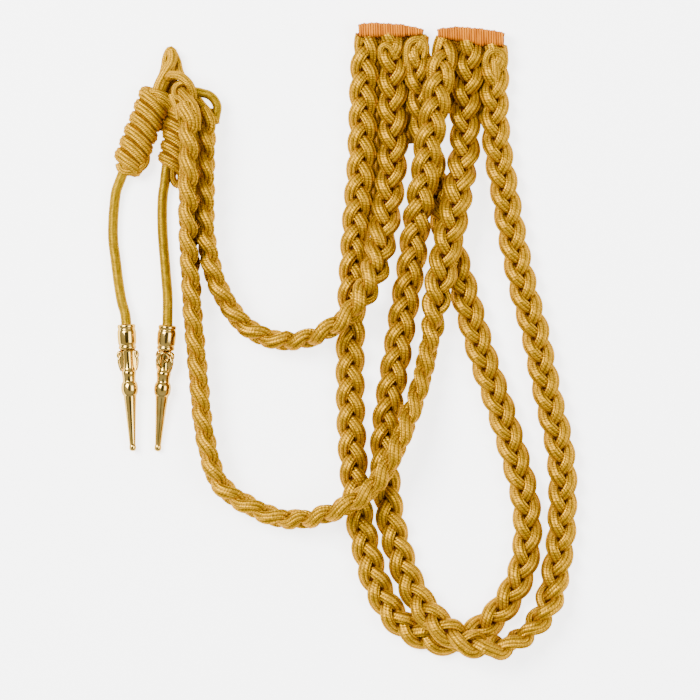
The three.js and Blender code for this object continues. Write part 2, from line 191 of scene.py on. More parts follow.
# Places of the knots, ring and tags, as points on their middle lines
LEFT_KNOT_TOP = Vector((-0.1411, -0.0394, KNOT_HEIGHT))
LEFT_KNOT_END = Vector((-0.1586, -0.083, KNOT_HEIGHT))
RIGHT_KNOT_TOP = Vector((-0.1235, -0.0426, KNOT_HEIGHT))
RIGHT_KNOT_END = Vector((-0.1322, -0.0831, KNOT_HEIGHT))
END_RING_PLACE = Vector((-0.1242, -0.0378, 0.02))
LEFT_TAG_TOP = Vector((-0.159, -0.1764, 0.0061))
LEFT_TAG_END = Vector((-0.1551, -0.2526, 0.0041))
RIGHT_TAG_TOP = Vector((-0.1341, -0.177, 0.0083))
RIGHT_TAG_END = Vector((-0.1404, -0.2532, 0.0022))

# Routes of the plaits. Columns: x, y, level (0 on the table, 1 over another plait), roll in degrees.
# The left loop lies flat on the table all along, so its table has x and y only.
LEFT_LOOP_PLACES = [
    (-0.0145, -0.0051), (-0.016, -0.027), (-0.0169, -0.054),
    (-0.0179, -0.081), (-0.0204, -0.111), (-0.0224, -0.141),
    (-0.024, -0.174), (-0.0245, -0.21), (-0.0235, -0.246),
    (-0.0205, -0.282), (-0.0155, -0.309), (-0.0085, -0.333),
    (0.003, -0.353), (0.0185, -0.3635), (0.0355, -0.367),
    (0.052, -0.361), (0.067, -0.347), (0.078, -0.327),
    (0.082, -0.305), (0.0805, -0.281), (0.074, -0.255),
    (0.065, -0.225), (0.056, -0.199), (0.049, -0.175),
    (0.042, -0.15), (0.035, -0.126), (0.029, -0.102),
    (0.0235, -0.077), (0.019, -0.054), (0.017, -0.033),
    (0.016, -0.018), (0.0155, -0.0051),
]
LEFT_LOOP_ROUTE = [(x, y, 0, 0) for x, y in LEFT_LOOP_PLACES]
RIGHT_LOOP_ROUTE = [
    (0.033, -0.008, 0, 0), (0.0315, -0.017, 0.35, 0), (0.0295, -0.027, 0.8, 0),
    (0.0275, -0.039, 1, 0), (0.025, -0.055, 1.03, 0), (0.022, -0.071, 1.03, 0),
    (0.0205, -0.085, 1.03, 0), (0.0175, -0.102, 0.95, 0), (0.016, -0.111, 0.65, 0),
    (0.0145, -0.121, 0.25, 0), (0.0125, -0.139, 0, 0), (0.0095, -0.157, 0, 0),
    (0.0065, -0.175, 0, 0), (0.004, -0.192, 0, 0), (0.0005, -0.213, 0, 0),
    (-0.0025, -0.234, 0, 0), (-0.004, -0.255, 0, 0), (-0.0025, -0.275, 0, 0),
    (0, -0.295, 0, 0), (0.005, -0.314, 0, 0), (0.011, -0.331, 0, 0),
    (0.0185, -0.3445, 0.4, 0), (0.0275, -0.3545, 0.9, 10), (0.04, -0.363, 1.05, 35),
    (0.0535, -0.368, 0.95, 58), (0.0605, -0.3691, 0.76, 70), (0.0685, -0.3685, 0.48, 80),
    (0.0795, -0.363, 0.12, 85), (0.0888, -0.353, 0, 70), (0.0948, -0.3405, 0, 40),
    (0.099, -0.324, 0, 10), (0.102, -0.306, 0, 0), (0.103, -0.287, 0, 0),
    (0.103, -0.267, 0, 0), (0.1005, -0.246, 0, 0), (0.0955, -0.225, 0, 0),
    (0.0905, -0.201, 0, 0), (0.086, -0.179, 0, 0), (0.081, -0.161, 0, 0),
    (0.076, -0.139, 0, 0), (0.072, -0.119, 0, 0), (0.068, -0.095, 0, 0),
    (0.0646, -0.075, 0, 0), (0.0626, -0.057, 0, 0), (0.0621, -0.036, 0, 0),
    (0.063, -0.0104, 0, 0),
]
LEFT_FRONT_ROUTE = [
    (0.0005, -0.0055, 0, 0), (0.001, -0.027, 0, 0), (0.0004, -0.048, 0, 0),
    (0.0014, -0.066, 0, 0), (-0.0001, -0.087, 0, 0), (-0.0026, -0.108, 0.08, 5),
    (-0.0056, -0.128, 0.45, 22), (-0.009, -0.144, 0.86, 45), (-0.016, -0.159, 1.05, 68),
    (-0.025, -0.1705, 1.05, 86), (-0.0365, -0.179, 0.9, 90), (-0.05, -0.185, 0.35, 90),
    (-0.063, -0.1865, 0, 90), (-0.076, -0.184, 0, 90), (-0.089, -0.176, 0, 90),
    (-0.099, -0.1625, 0, 90), (-0.1055, -0.149, 0, 90), (-0.109, -0.135, 0, 90),
    (-0.1115, -0.12, 0, 90), (-0.1115, -0.102, 0, 90), (-0.1115, -0.084, 0, 90),
    (-0.111, -0.066, 0, 90), (-0.1105, -0.05, 0, 90),
]
RIGHT_FRONT_ROUTE = [
    (0.048, -0.0101, 0, 0), (0.0464, -0.03, 0, 0), (0.0444, -0.048, 0, 0),
    (0.0445, -0.069, 0.05, 0), (0.0425, -0.083, 0.4, 0), (0.04, -0.096, 0.85, 0),
    (0.038, -0.109, 1.05, 0), (0.0335, -0.129, 1.05, 0), (0.03, -0.149, 0.9, 20),
    (0.028, -0.161, 0.45, 45), (0.026, -0.174, 0.05, 70), (0.0225, -0.191, 0, 88),
    (0.019, -0.207, 0, 90), (0.0145, -0.222, 0.3, 90), (0.0085, -0.238, 0.8, 90),
    (0.002, -0.253, 1.05, 90), (-0.006, -0.267, 1.1, 90), (-0.016, -0.278, 1.1, 90),
    (-0.0295, -0.286, 1.05, 90), (-0.044, -0.2915, 0.5, 90), (-0.057, -0.2935, 0.05, 90),
    (-0.07, -0.292, 0, 90), (-0.0835, -0.286, 0, 90), (-0.0955, -0.279, 0, 90),
    (-0.1045, -0.269, 0, 90), (-0.1095, -0.253, 0, 90), (-0.113, -0.234, 0, 90),
    (-0.115, -0.213, 0, 90), (-0.117, -0.191, 0, 90), (-0.119, -0.169, 0, 90),
    (-0.1201, -0.147, 0.1, 90), (-0.1211, -0.126, 0.4, 90), (-0.1211, -0.105, 0.85, 90),
    (-0.1206, -0.084, 1.15, 90), (-0.1206, -0.063, 1.12, 90), (-0.1216, -0.0454, 1.09, 90),
]

# Routes of the single cords. Columns: x, y, z.
BUTTON_LOOP_ROUTE = [
    (-0.1425, -0.0425, 0.0072), (-0.1416, -0.0386, 0.0069), (-0.14, -0.0328, 0.0062),
    (-0.1377, -0.0276, 0.0052), (-0.1362, -0.0222, 0.0042), (-0.1354, -0.0168, 0.0034),
    (-0.1343, -0.0135, 0.0029), (-0.1325, -0.0112, 0.0028), (-0.1303, -0.0141, 0.003),
    (-0.1282, -0.0188, 0.0036), (-0.127, -0.024, 0.005), (-0.1248, -0.0288, 0.008),
    (-0.1218, -0.0327, 0.0112), (-0.1191, -0.0363, 0.0128), (-0.1166, -0.0372, 0.013),
]
LINK_RING_ROUTE = [
    (-0.1186, -0.0372, 0.0134), (-0.1156, -0.0375, 0.013), (-0.1128, -0.0382, 0.0124),
    (-0.1092, -0.0392, 0.0114), (-0.1062, -0.0417, 0.0104),
    (-0.1044, -0.045, 0.0094), (-0.1042, -0.0474, 0.0087),
    (-0.1046, -0.0495, 0.0082), (-0.1056, -0.0545, 0.0074),
]
LEFT_TAG_CORD_ROUTE = [
    (-0.1588, -0.0795, 0.0068), (-0.16, -0.0831, 0.0068), (-0.1615, -0.087, 0.0057),
    (-0.1635, -0.092, 0.0046), (-0.165, -0.096, 0.0038), (-0.166, -0.102, 0.0033), (-0.167, -0.114, 0.0032),
    (-0.167, -0.126, 0.0032), (-0.1655, -0.138, 0.0032), (-0.164, -0.15, 0.0033),
    (-0.162, -0.162, 0.0043), (-0.1597, -0.17, 0.0058), (-0.159, -0.1758, 0.006),
    (-0.1588, -0.1795, 0.0059),
]
RIGHT_TAG_CORD_ROUTE = [
    (-0.1342, -0.079, 0.0068), (-0.1348, -0.0831, 0.0068), (-0.1355, -0.088, 0.0058),
    (-0.136, -0.0925, 0.0047), (-0.137, -0.098, 0.0037),
    (-0.1375, -0.1055, 0.0032), (-0.1375, -0.115, 0.0032),
    (-0.137, -0.126, 0.0032), (-0.136, -0.138, 0.0033), (-0.135, -0.15, 0.0038),
    (-0.1342, -0.1595, 0.0054), (-0.134, -0.1685, 0.008), (-0.1341, -0.1763, 0.0083),
    (-0.1344, -0.18, 0.008),
]

# Routes of the ribbons that fold over at the ends of the loops, knots and plaits. Columns: x, y, z.
# The dark backs, sheets of painted shadow, are level, so their tables have x and y only.
INNER_LOOP_ROUTE = [
    (-0.1317, -0.0123, 0.0066), (-0.13104, -0.0156, 0.0082), (-0.1317, -0.0195, 0.0094),
    (-0.1341, -0.0237, 0.01), (-0.1368, -0.0282, 0.0102), (-0.1389, -0.0324, 0.01),
    (-0.14052, -0.0366, 0.0094), (-0.1416, -0.0408, 0.0084),
]
LOOP_SHADOW_SHEET_ROUTE = [
    (-0.1314, -0.018, 0.0034), (-0.1302, -0.0228, 0.0036), (-0.1308, -0.0276, 0.004),
    (-0.1326, -0.0318, 0.0046), (-0.1338, -0.0372, 0.005), (-0.1332, -0.042, 0.005),
]
INNER_LOOP_FOLD_ROUTE = [
    (-0.1314, -0.0216, 0.0076), (-0.1335, -0.0258, 0.009), (-0.1353, -0.03, 0.0096),
    (-0.1371, -0.0342, 0.0094), (-0.1386, -0.039, 0.0086),
]
KNOT_CROWN_ROUTE = [
    (-0.1446, -0.0378, 0.01), (-0.141, -0.0378, 0.0108), (-0.1374, -0.039, 0.0112),
    (-0.1341, -0.0411, 0.0108), (-0.1314, -0.0441, 0.0098), (-0.1296, -0.0474, 0.0086),
]
RING_SHADOW_SHEET_ROUTE = [
    (-0.129, -0.0336, 0.0166), (-0.126, -0.0366, 0.0168), (-0.1224, -0.0402, 0.0168),
    (-0.1194, -0.0438, 0.0166),
]
RING_FILL_BELOW_ROUTE = [
    (-0.1275, -0.0402, 0.0188), (-0.1254, -0.042, 0.0206), (-0.1224, -0.0456, 0.023),
    (-0.1203, -0.0495, 0.025), (-0.1194, -0.054, 0.0254), (-0.1194, -0.0588, 0.024),
]
KNOT_CROWN_BELOW_ROUTE = [
    (-0.1428, -0.0411, 0.0104), (-0.1392, -0.0417, 0.011), (-0.1359, -0.0432, 0.0106),
    (-0.1332, -0.0459, 0.0094), (-0.1314, -0.0492, 0.0076),
]
LEFT_HEAD_SHADOW_SHEET_ROUTE = [(-0.018, -0.0066), (-0.0066, -0.0078), (0.0054, -0.0078), (0.0186, -0.0072)]
RIGHT_HEAD_SHADOW_SHEET_ROUTE = [(0.03, -0.009), (0.0414, -0.0108), (0.0534, -0.0132), (0.066, -0.0144)]
LEFT_GAP_SHADOW_SHEET_ROUTE = [
    (-0.0078, -0.015), (-0.0079, -0.045), (-0.0083, -0.075), (-0.0104, -0.1), (-0.0128, -0.122),
]
MIDDLE_GAP_SHADOW_SHEET_ROUTE = [(0.0092, -0.02), (0.0096, -0.036), (0.0102, -0.052), (0.0112, -0.068)]
RIGHT_GAP_SHADOW_SHEET_ROUTE = [(0.0384, -0.022), (0.0368, -0.036), (0.0354, -0.05)]
LAST_GAP_SHADOW_SHEET_ROUTE = [(0.0548, -0.024), (0.0542, -0.04), (0.0538, -0.056)]
KNOT_SHADOW_SHEET_ROUTE = [(-0.1326, -0.0426), (-0.1338, -0.0486), (-0.1356, -0.0546), (-0.1374, -0.0606)]
RING_BAND_ROUTE = [
    (-0.1338, -0.0294, 0.012), (-0.1314, -0.0279, 0.0175), (-0.1278, -0.0282, 0.0208),
    (-0.1239, -0.03, 0.0222), (-0.1206, -0.0333, 0.0222), (-0.1188, -0.0372, 0.0208),
    (-0.1185, -0.0414, 0.018),
]
RING_FILL_ROUTE = [
    (-0.126, -0.0369, 0.0188), (-0.1236, -0.039, 0.021), (-0.1209, -0.0423, 0.024),
    (-0.1182, -0.0459, 0.0264), (-0.1164, -0.0498, 0.0272), (-0.1158, -0.0546, 0.0256),
    (-0.1161, -0.0606, 0.0226),
]
RING_LEFT_ROUTE = [
    (-0.1311, -0.0396, 0.0194), (-0.1299, -0.0432, 0.0206), (-0.1284, -0.0468, 0.0224),
    (-0.1272, -0.0504, 0.0236), (-0.1266, -0.0546, 0.0236),
]
FRONT_TOP_ROUTE = [
    (-0.1194, -0.0384, 0.0084), (-0.1164, -0.042, 0.0086), (-0.1134, -0.0459, 0.0088),
    (-0.1101, -0.0495, 0.0092), (-0.1071, -0.0528, 0.0094), (-0.1056, -0.057, 0.009),
]
LEFT_KNOT_FOOT_ROUTE = [
    (-0.1473, -0.0756, 0.006), (-0.1476, -0.0792, 0.0076), (-0.15, -0.0822, 0.0086),
    (-0.1539, -0.08424, 0.009), (-0.1581, -0.08484, 0.0088), (-0.1617, -0.0834, 0.008),
    (-0.1629, -0.0801, 0.007),
]
RIGHT_KNOT_FOOT_ROUTE = [
    (-0.1311, -0.0792, 0.007), (-0.1312, -0.0846, 0.0064), (-0.131, -0.0892, 0.0052),
    (-0.1288, -0.0927, 0.0044), (-0.1266, -0.0908, 0.0046), (-0.1262, -0.0864, 0.0056),
    (-0.1266, -0.0822, 0.0066),
]
LEFT_HEAD_ARCH_ROUTE = [
    (0.0105, -0.0252, 0.0064), (0.00996, -0.0204, 0.0082), (0.00936, -0.0144, 0.0096),
    (0.0102, -0.00912, 0.0102), (0.0129, -0.00636, 0.0104), (0.0165, -0.00576, 0.0102),
    (0.0198, -0.0078, 0.0096), (0.02076, -0.012, 0.0088), (0.0198, -0.0168, 0.0074),
]
LEFT_HEAD_CENTRE_ROUTE = [
    (0.01428, -0.009, 0.0076), (0.01428, -0.012, 0.0098), (0.0147, -0.0168, 0.01),
    (0.01596, -0.0216, 0.0082),
]
RIGHT_HEAD_ARCH_ROUTE = [
    (0.05844, -0.0288, 0.0062), (0.05736, -0.024, 0.0076), (0.05676, -0.018, 0.0094),
    (0.0588, -0.01356, 0.0102), (0.0627, -0.01224, 0.0102), (0.0666, -0.0138, 0.0098),
    (0.06816, -0.018, 0.009), (0.0672, -0.0228, 0.0074),
]
RIGHT_HEAD_CENTRE_ROUTE = [
    (0.06216, -0.0162, 0.0078), (0.06228, -0.0198, 0.01), (0.06264, -0.0252, 0.0102),
    (0.063, -0.0312, 0.0086), (0.0636, -0.0348, 0.007),
]
LEFT_SMALL_ARCH_ROUTE = [
    (-0.006, -0.0168, 0.008), (-0.0063, -0.012, 0.0096), (-0.0042, -0.0093, 0.0102),
    (-0.0012, -0.0099, 0.0102), (0.0012, -0.0132, 0.0096), (0.003, -0.0168, 0.008),
]

# Cross sections along a wound head. Columns: share of its width, lower and upper edge as shares of its depth.
LEFT_HEAD_SECTIONS = [
    (-0.5, -0.42, 0.34), (-0.47, -0.5, 0.44), (-0.3, -0.5, 0.53),
    (0.15, -0.48, 0.42), (0.46, -0.36, 0.12), (0.5, -0.26, 0.06),
]
RIGHT_HEAD_SECTIONS = [
    (-0.5, -0.06, 0.5), (-0.46, -0.1, 0.6), (-0.2, -0.26, 0.73),
    (0.14, -0.6, 0.6), (0.46, -0.64, 0.36), (0.5, -0.58, 0.28),
]

# Outline of a metal tag, from its rim to its tip. Columns: share of its length, half width as a share of half
# its diameter, and that of the scrolls at its sides.
TAG_OUTLINE = [
    (0, 0.5, 0.5), (0.003, 0.84, 0.84), (0.012, 0.95, 0.95), (0.028, 0.94, 0.94), (0.036, 0.89, 0.89),
    (0.046, 0.93, 0.93), (0.06, 0.99, 0.99), (0.1, 1, 1), (0.15, 0.97, 0.97), (0.16, 0.9, 0.9),
    (0.168, 0.88, 0.88), (0.176, 0.93, 0.93), (0.19, 0.93, 0.93), (0.198, 0.84, 0.84), (0.208, 0.62, 0.8),
    (0.222, 0.57, 0.96), (0.25, 0.56, 1.02), (0.29, 0.56, 1.02), (0.33, 0.58, 0.95), (0.355, 0.62, 0.86),
    (0.372, 0.74, 0.76), (0.39, 0.76, 0.76), (0.41, 0.71, 0.71), (0.44, 0.68, 0.68), (0.452, 0.7, 0.7),
    (0.463, 0.8, 0.8), (0.48, 0.87, 0.87), (0.505, 0.9, 0.9), (0.53, 0.87, 0.87), (0.55, 0.79, 0.79),
    (0.562, 0.69, 0.69), (0.58, 0.66, 0.66), (0.7, 0.54, 0.54), (0.82, 0.43, 0.43), (0.94, 0.33, 0.33),
    (0.948, 0.31, 0.31), (0.956, 0.35, 0.35), (0.975, 0.37, 0.37), (0.988, 0.33, 0.33), (0.997, 0.2, 0.2),
    (1, 0.02, 0.02),
]

# Raised edges of the scrolls on the tags.
# Columns: share of the tag's length, and places sideways and outward as shares of half its diameter.
SIDE_SCROLL_ROUTE = [
    (0.262, 0, 0.94), (0.252, 0, 1.05), (0.232, 0, 1.04), (0.218, 0, 0.92), (0.222, 0, 0.78),
    (0.25, 0, 0.82), (0.28, 0, 1.0), (0.31, 0, 0.97), (0.34, 0, 0.88), (0.366, 0, 0.74),
]
FRONT_SCROLL_ROUTE = [
    (0.33, 0.42, 0.5), (0.3, 0.62, 0.46), (0.26, 0.66, 0.5), (0.228, 0.4, 0.66), (0.222, 0.02, 0.72),
    (0.24, -0.3, 0.68), (0.27, -0.34, 0.66), (0.288, -0.08, 0.72), (0.278, 0.18, 0.7), (0.262, 0.1, 0.74),
]

# Unevenness of a head's thread. Columns: height, and how fast it changes from turn to turn.
HEAD_WOBBLES = [(0.00018, 2.4), (0.00012, 5.1)]

# The dark body inside a knot, painted shade seen between its windings. Columns: share of its length, share of
# its width and of its thickness.
KNOT_CORE_SECTIONS = [(0.05, 0.5), (0.12, 0.85), (0.3, 1), (0.7, 1), (0.88, 0.85), (0.95, 0.5)]

# The four plaits. Columns: name, route, width, hand of the weave, start angle in degrees, length of a turn,
# and how far the start and the end are tucked under what holds them.
PLAITS = [
    ("left_loop", LEFT_LOOP_ROUTE, PLAIT_WIDTH, 1, 77, PLAIT_TURN, 0.0015, 0.001),
    ("right_loop", RIGHT_LOOP_ROUTE, PLAIT_WIDTH, 1, 67.5, RIGHT_LOOP_TURN, 0.002, 0.001),
    ("left_front", LEFT_FRONT_ROUTE, FRONT_PLAIT_WIDTH, -1, 30, PLAIT_TURN, 0.005, 0.002),
    ("right_front", RIGHT_FRONT_ROUTE, FRONT_PLAIT_WIDTH, -1, 25, PLAIT_TURN, 0.005, 0.0),
]

# The tags. Columns: name, top, end, turn of the scrolls.
TAGS = [
    ("left_tag", LEFT_TAG_TOP, LEFT_TAG_END, 0),
    ("right_tag", RIGHT_TAG_TOP, RIGHT_TAG_END, RIGHT_SCROLL_TURN),
]

# The wound heads. Columns: name, place, width, cross sections.
HEADS = [
    ("left_head", LEFT_HEAD_PLACE, HEAD_WIDTH, LEFT_HEAD_SECTIONS),
    ("right_head", RIGHT_HEAD_PLACE, RIGHT_HEAD_WIDTH, RIGHT_HEAD_SECTIONS),
]

# Single ribbons that make up the small pieces.
# Columns: name, route, width, thickness, ribs, how far out it counts as lying.
END_RING_RIBBONS = [
    ("ring_band", RING_BAND_ROUTE, 0.0052, 0.0034, 8, AT_SURFACE),
    ("ring_filling", RING_FILL_ROUTE, 0.0054, 0.004, 8, AT_SURFACE),
    ("ring_filling_below", RING_FILL_BELOW_ROUTE, 0.0054, 0.004, 8, AT_SURFACE),
    ("ring_left", RING_LEFT_ROUTE, 0.004, 0.003, 6, AT_SURFACE),
    # A dark sheet of painted shadow behind the ring's filling
    ("ring_back", RING_SHADOW_SHEET_ROUTE, 0.009, 0.002, 6, PAINTED_SHADE_DEPTH),
]
LEFT_KNOT_RIBBONS = [("left_knot_foot", LEFT_KNOT_FOOT_ROUTE, 0.0056, 0.0044, 8, AT_SURFACE)]
BUTTON_LOOP_RIBBONS = [("button_loop", BUTTON_LOOP_ROUTE, 0.0046, 0.0046, 8, AT_SURFACE)]
INNER_LOOP_RIBBONS = [
    ("button_loop_inner", INNER_LOOP_ROUTE, 0.006, 0.0034, 8, AT_SURFACE),
    ("inner_fold", INNER_LOOP_FOLD_ROUTE, 0.0054, 0.0034, 8, AT_SURFACE),
    # A dark sheet of painted shadow under the inner loop
    ("loop_backing", LOOP_SHADOW_SHEET_ROUTE, 0.0064, 0.002, 6, PAINTED_SHADE_DEPTH),
]
KNOT_END_RIBBONS = [("right_knot_end", RIGHT_KNOT_FOOT_ROUTE, 0.0044, 0.004, 6, AT_SURFACE)]

# Ribbons that fold over at the plaits' ends.
# Columns: name, route, width, thickness, ribs, how far out it counts as lying.
FOLDS = [
    ("front_top_fold", FRONT_TOP_ROUTE, 0.0062, 0.0044, 8, AT_SURFACE),
    ("knot_crown", KNOT_CROWN_ROUTE, 0.005, 0.0034, 8, AT_SURFACE),
    ("knot_crown_below", KNOT_CROWN_BELOW_ROUTE, 0.0042, 0.0034, 8, AT_SURFACE),
    ("left_head_arch", LEFT_HEAD_ARCH_ROUTE, 0.005, 0.0042, 8, AT_SURFACE),
    ("left_head_centre", LEFT_HEAD_CENTRE_ROUTE, 0.0048, 0.0034, 8, AT_SURFACE),
    ("right_head_arch", RIGHT_HEAD_ARCH_ROUTE, 0.0048, 0.0042, 8, AT_SURFACE),
    ("right_head_centre", RIGHT_HEAD_CENTRE_ROUTE, 0.0058, 0.0034, 8, AT_SURFACE),
    ("left_small_arch", LEFT_SMALL_ARCH_ROUTE, 0.0044, 0.0034, 8, AT_SURFACE),
]

# The knots. Columns: name, width, top, end, other ribbons that belong to it.
KNOTS = [
    ("left_knot", LEFT_KNOT_WIDTH, LEFT_KNOT_TOP, LEFT_KNOT_END, LEFT_KNOT_RIBBONS),
    ("right_knot", RIGHT_KNOT_WIDTH, RIGHT_KNOT_TOP, RIGHT_KNOT_END, []),
]

# Dark level backs between the knots, along the heads' lower edges, and between the plaits near there: sheets
# of painted shadow where those gaps are in shade.
# Columns: name, route, height of its middle line, width.
SHADOW_SHEETS = [
    ("knot_shadow_sheet", KNOT_SHADOW_SHEET_ROUTE, KNOT_SHADOW_SHEET_HEIGHT, HEAD_SHADOW_SHEET_WIDTH),
    ("left_head_shadow_sheet", LEFT_HEAD_SHADOW_SHEET_ROUTE, HEAD_SHADOW_SHEET_HEIGHT, HEAD_SHADOW_SHEET_WIDTH),
    ("right_head_shadow_sheet", RIGHT_HEAD_SHADOW_SHEET_ROUTE, HEAD_SHADOW_SHEET_HEIGHT, HEAD_SHADOW_SHEET_WIDTH),
    ("left_gap_shadow_sheet", LEFT_GAP_SHADOW_SHEET_ROUTE, GAP_SHADOW_SHEET_HEIGHT, GAP_SHADOW_SHEET_WIDTH),
    ("middle_gap_shadow_sheet", MIDDLE_GAP_SHADOW_SHEET_ROUTE, GAP_SHADOW_SHEET_HEIGHT, GAP_SHADOW_SHEET_WIDTH),
    ("right_gap_shadow_sheet", RIGHT_GAP_SHADOW_SHEET_ROUTE, GAP_SHADOW_SHEET_HEIGHT, GAP_SHADOW_SHEET_WIDTH),
    ("last_gap_shadow_sheet", LAST_GAP_SHADOW_SHEET_ROUTE, GAP_SHADOW_SHEET_HEIGHT, GAP_SHADOW_SHEET_WIDTH),
]


class Wiring:
    """Adds nodes to a node tree and joins them. A value is a number or another node's socket."""

    def __init__(self, tree):
        self.tree = tree

    def node(self, kind, **settings):
        added = self.tree.nodes.new(kind)
        for name, value in settings.items():
            setattr(added, name, value)
        return added

    def put(self, value, socket):
        if isinstance(value, bpy.types.NodeSocket):
            self.tree.links.new(value, socket)
        else:
            socket.default_value = value

    def filled(self, kind, inputs, **settings):
        """A new node with a value for each of the inputs that are named"""
        added = self.node(kind, **settings)
        for label, value in inputs.items():
            self.put(value, added.inputs[label])
        return added

    def number(self, operation, *values):
        node = self.node("ShaderNodeMath", operation=operation)
        for value, socket in zip(values, node.inputs):
            self.put(value, socket)
        return node.outputs[0]

    def vector(self, operation, *values):
        node = self.node("ShaderNodeVectorMath", operation=operation)
        for value, socket in zip(values, node.inputs):
            self.put(value, socket)
        return node.outputs["Vector"]

    def product(self, first, *others):
        for other in others:
            first = self.number("MULTIPLY", first, other)
        return first

    def dot(self, first, second):
        node = self.filled("ShaderNodeVectorMath", {0: first, 1: second}, operation="DOT_PRODUCT")
        return node.outputs["Value"]

    def scaled(self, vector, factor):
        node = self.filled("ShaderNodeVectorMath", {0: vector, "Scale": factor}, operation="SCALE")
        return node.outputs["Vector"]

    def combined(self, **parts):
        return self.filled("ShaderNodeCombineXYZ", parts).outputs[0]

    def sideways_part(self, vector):
        return self.filled("ShaderNodeSeparateXYZ", {0: vector}).outputs["X"]

    def between(self, start, end, share):
        """A number a share of the way from one to another"""
        return self.number("MULTIPLY_ADD", self.number("SUBTRACT", end, start), share, start)

    def moved_along(self, first, first_length, second, second_length):
        return self.vector("ADD", self.scaled(first, first_length), self.scaled(second, second_length))


class GeometryWiring(Wiring):
    """A geometry node tree with named inputs"""

    def __init__(self, name, inputs):
        super().__init__(bpy.data.node_groups.new(name, "GeometryNodeTree"))
        interface = self.tree.interface
        interface.new_socket("Path", in_out="INPUT", socket_type="NodeSocketGeometry")
        for label, kind in inputs.items():
            interface.new_socket(label, in_out="INPUT", socket_type=kind)
        interface.new_socket("Piece", in_out="OUTPUT", socket_type="NodeSocketGeometry")
        self.inputs = self.node("NodeGroupInput").outputs

    def attribute(self, name, kind="FLOAT"):
        node = self.filled("GeometryNodeInputNamedAttribute", {"Name": name}, data_type=kind)
        return node.outputs["Attribute"]

    def stored(self, geometry, name, value, kind="FLOAT"):
        inputs = {"Geometry": geometry, "Name": name, "Value": value}
        node = self.filled("GeometryNodeStoreNamedAttribute", inputs, data_type=kind, domain="POINT")
        return node.outputs["Geometry"]

    def circle(self, sides, radius):
        inputs = {"Resolution": sides, "Radius": radius}
        return self.filled("GeometryNodeCurvePrimitiveCircle", inputs).outputs["Curve"]

    def moved(self, geometry, label, place):
        """Geometry with its points moved: label says whether place is a Position or an Offset"""
        inputs = {"Geometry": geometry, label: place}
        return self.filled("GeometryNodeSetPosition", inputs).outputs["Geometry"]

    def united(self, parts):
        join = self.node("GeometryNodeJoinGeometry")
        for part in parts:
            self.put(part, join.inputs[0])
        return join.outputs[0]

    def position(self):
        return self.node("GeometryNodeInputPosition").outputs["Position"]

    def finish(self, parts):
        """Ends the tree: the parts become real faces with the material of the tree's last input"""
        smooth = self.filled("GeometryNodeSetShadeSmooth", {"Geometry": self.united(parts)})
        realize = self.filled("GeometryNodeRealizeInstances", {"Geometry": smooth.outputs[0]})
        inputs = {"Geometry": realize.outputs[0], "Material": self.inputs["Material"]}
        paint = self.filled("GeometryNodeSetMaterial", inputs)
        self.put(paint.outputs[0], self.node("NodeGroupOutput").inputs[0])


RIBBON_INPUTS = {
    "Ribbon Width": "NodeSocketFloat",
    "Ribbon Thickness": "NodeSocketFloat",
    "Ribs": "NodeSocketInt",
    "Rib Depth": "NodeSocketFloat",
    "Section Points": "NodeSocketInt",
    "Material": "NodeSocketMaterial",
}


def ribbon_section(wiring):
    """Cross section of a flat bundle of thin cords: an oval with a rib for each cord"""
    circle = wiring.circle(wiring.inputs["Section Points"], 1)
    index = wiring.node("GeometryNodeInputIndex").outputs[0]
    share = wiring.number("DIVIDE", index, wiring.inputs["Section Points"])
    half_turns = wiring.product(share, math.pi, wiring.inputs["Ribs"])
    rib = wiring.number("ABSOLUTE", wiring.number("COSINE", half_turns))
    crest = wiring.stored(circle, "rib", rib)
    place = wiring.stored(crest, "section", wiring.position(), "FLOAT_VECTOR")
    valley = wiring.number("SUBTRACT", 1, rib)
    inward = wiring.product(wiring.inputs["Rib Depth"], valley)
    half_width = wiring.product(wiring.inputs["Ribbon Width"], 0.5)
    half_thickness = wiring.product(wiring.inputs["Ribbon Thickness"], 0.5)
    oval = wiring.vector("MULTIPLY", wiring.position(), wiring.combined(X=half_width, Y=half_thickness))
    return wiring.moved(place, "Position", wiring.scaled(oval, wiring.number("SUBTRACT", 1, inward)))


def swept_ribbon(wiring, path, broad_side, section):
    """A ribbon along a path of edges, with its broad side turned as given"""
    curve = wiring.filled("GeometryNodeMeshToCurve", {"Mesh": path})
    tangent = wiring.node("GeometryNodeInputTangent").outputs[0]
    lengthwise = wiring.scaled(tangent, wiring.dot(broad_side, tangent))
    across = wiring.vector("NORMALIZE", wiring.vector("SUBTRACT", broad_side, lengthwise))
    inputs = {"Curve": curve.outputs[0], "Normal": across}
    turned = wiring.filled("GeometryNodeSetCurveNormal", inputs, mode="FREE")
    inputs = {"Curve": turned.outputs[0], "Profile Curve": section, "Fill Caps": True}
    return wiring.filled("GeometryNodeCurveToMesh", inputs).outputs["Mesh"]


def single_ribbon_tree():
    """One ribbon or round cord along a path that says which way its broad side lies"""
    wiring = GeometryWiring("single_ribbon", {
        "Outward": "NodeSocketFloat",
        "Edge Shade": "NodeSocketFloat",
        **RIBBON_INPUTS,
    })
    broad_side = wiring.attribute("broad_side", "FLOAT_VECTOR")
    swept = swept_ribbon(wiring, wiring.inputs["Path"], broad_side, ribbon_section(wiring))
    beside = wiring.sideways_part(wiring.attribute("section", "FLOAT_VECTOR"))
    # Painted shade: the edges of a ribbon count as lying lower, so they are coloured darker
    to_edge = wiring.number("POWER", wiring.number("ABSOLUTE", beside), 4)
    shade = wiring.product(to_edge, wiring.inputs["Edge Shade"])
    outward = wiring.number("SUBTRACT", wiring.inputs["Outward"], shade)
    wiring.finish([wiring.stored(swept, "outward", outward)])
    return wiring.tree


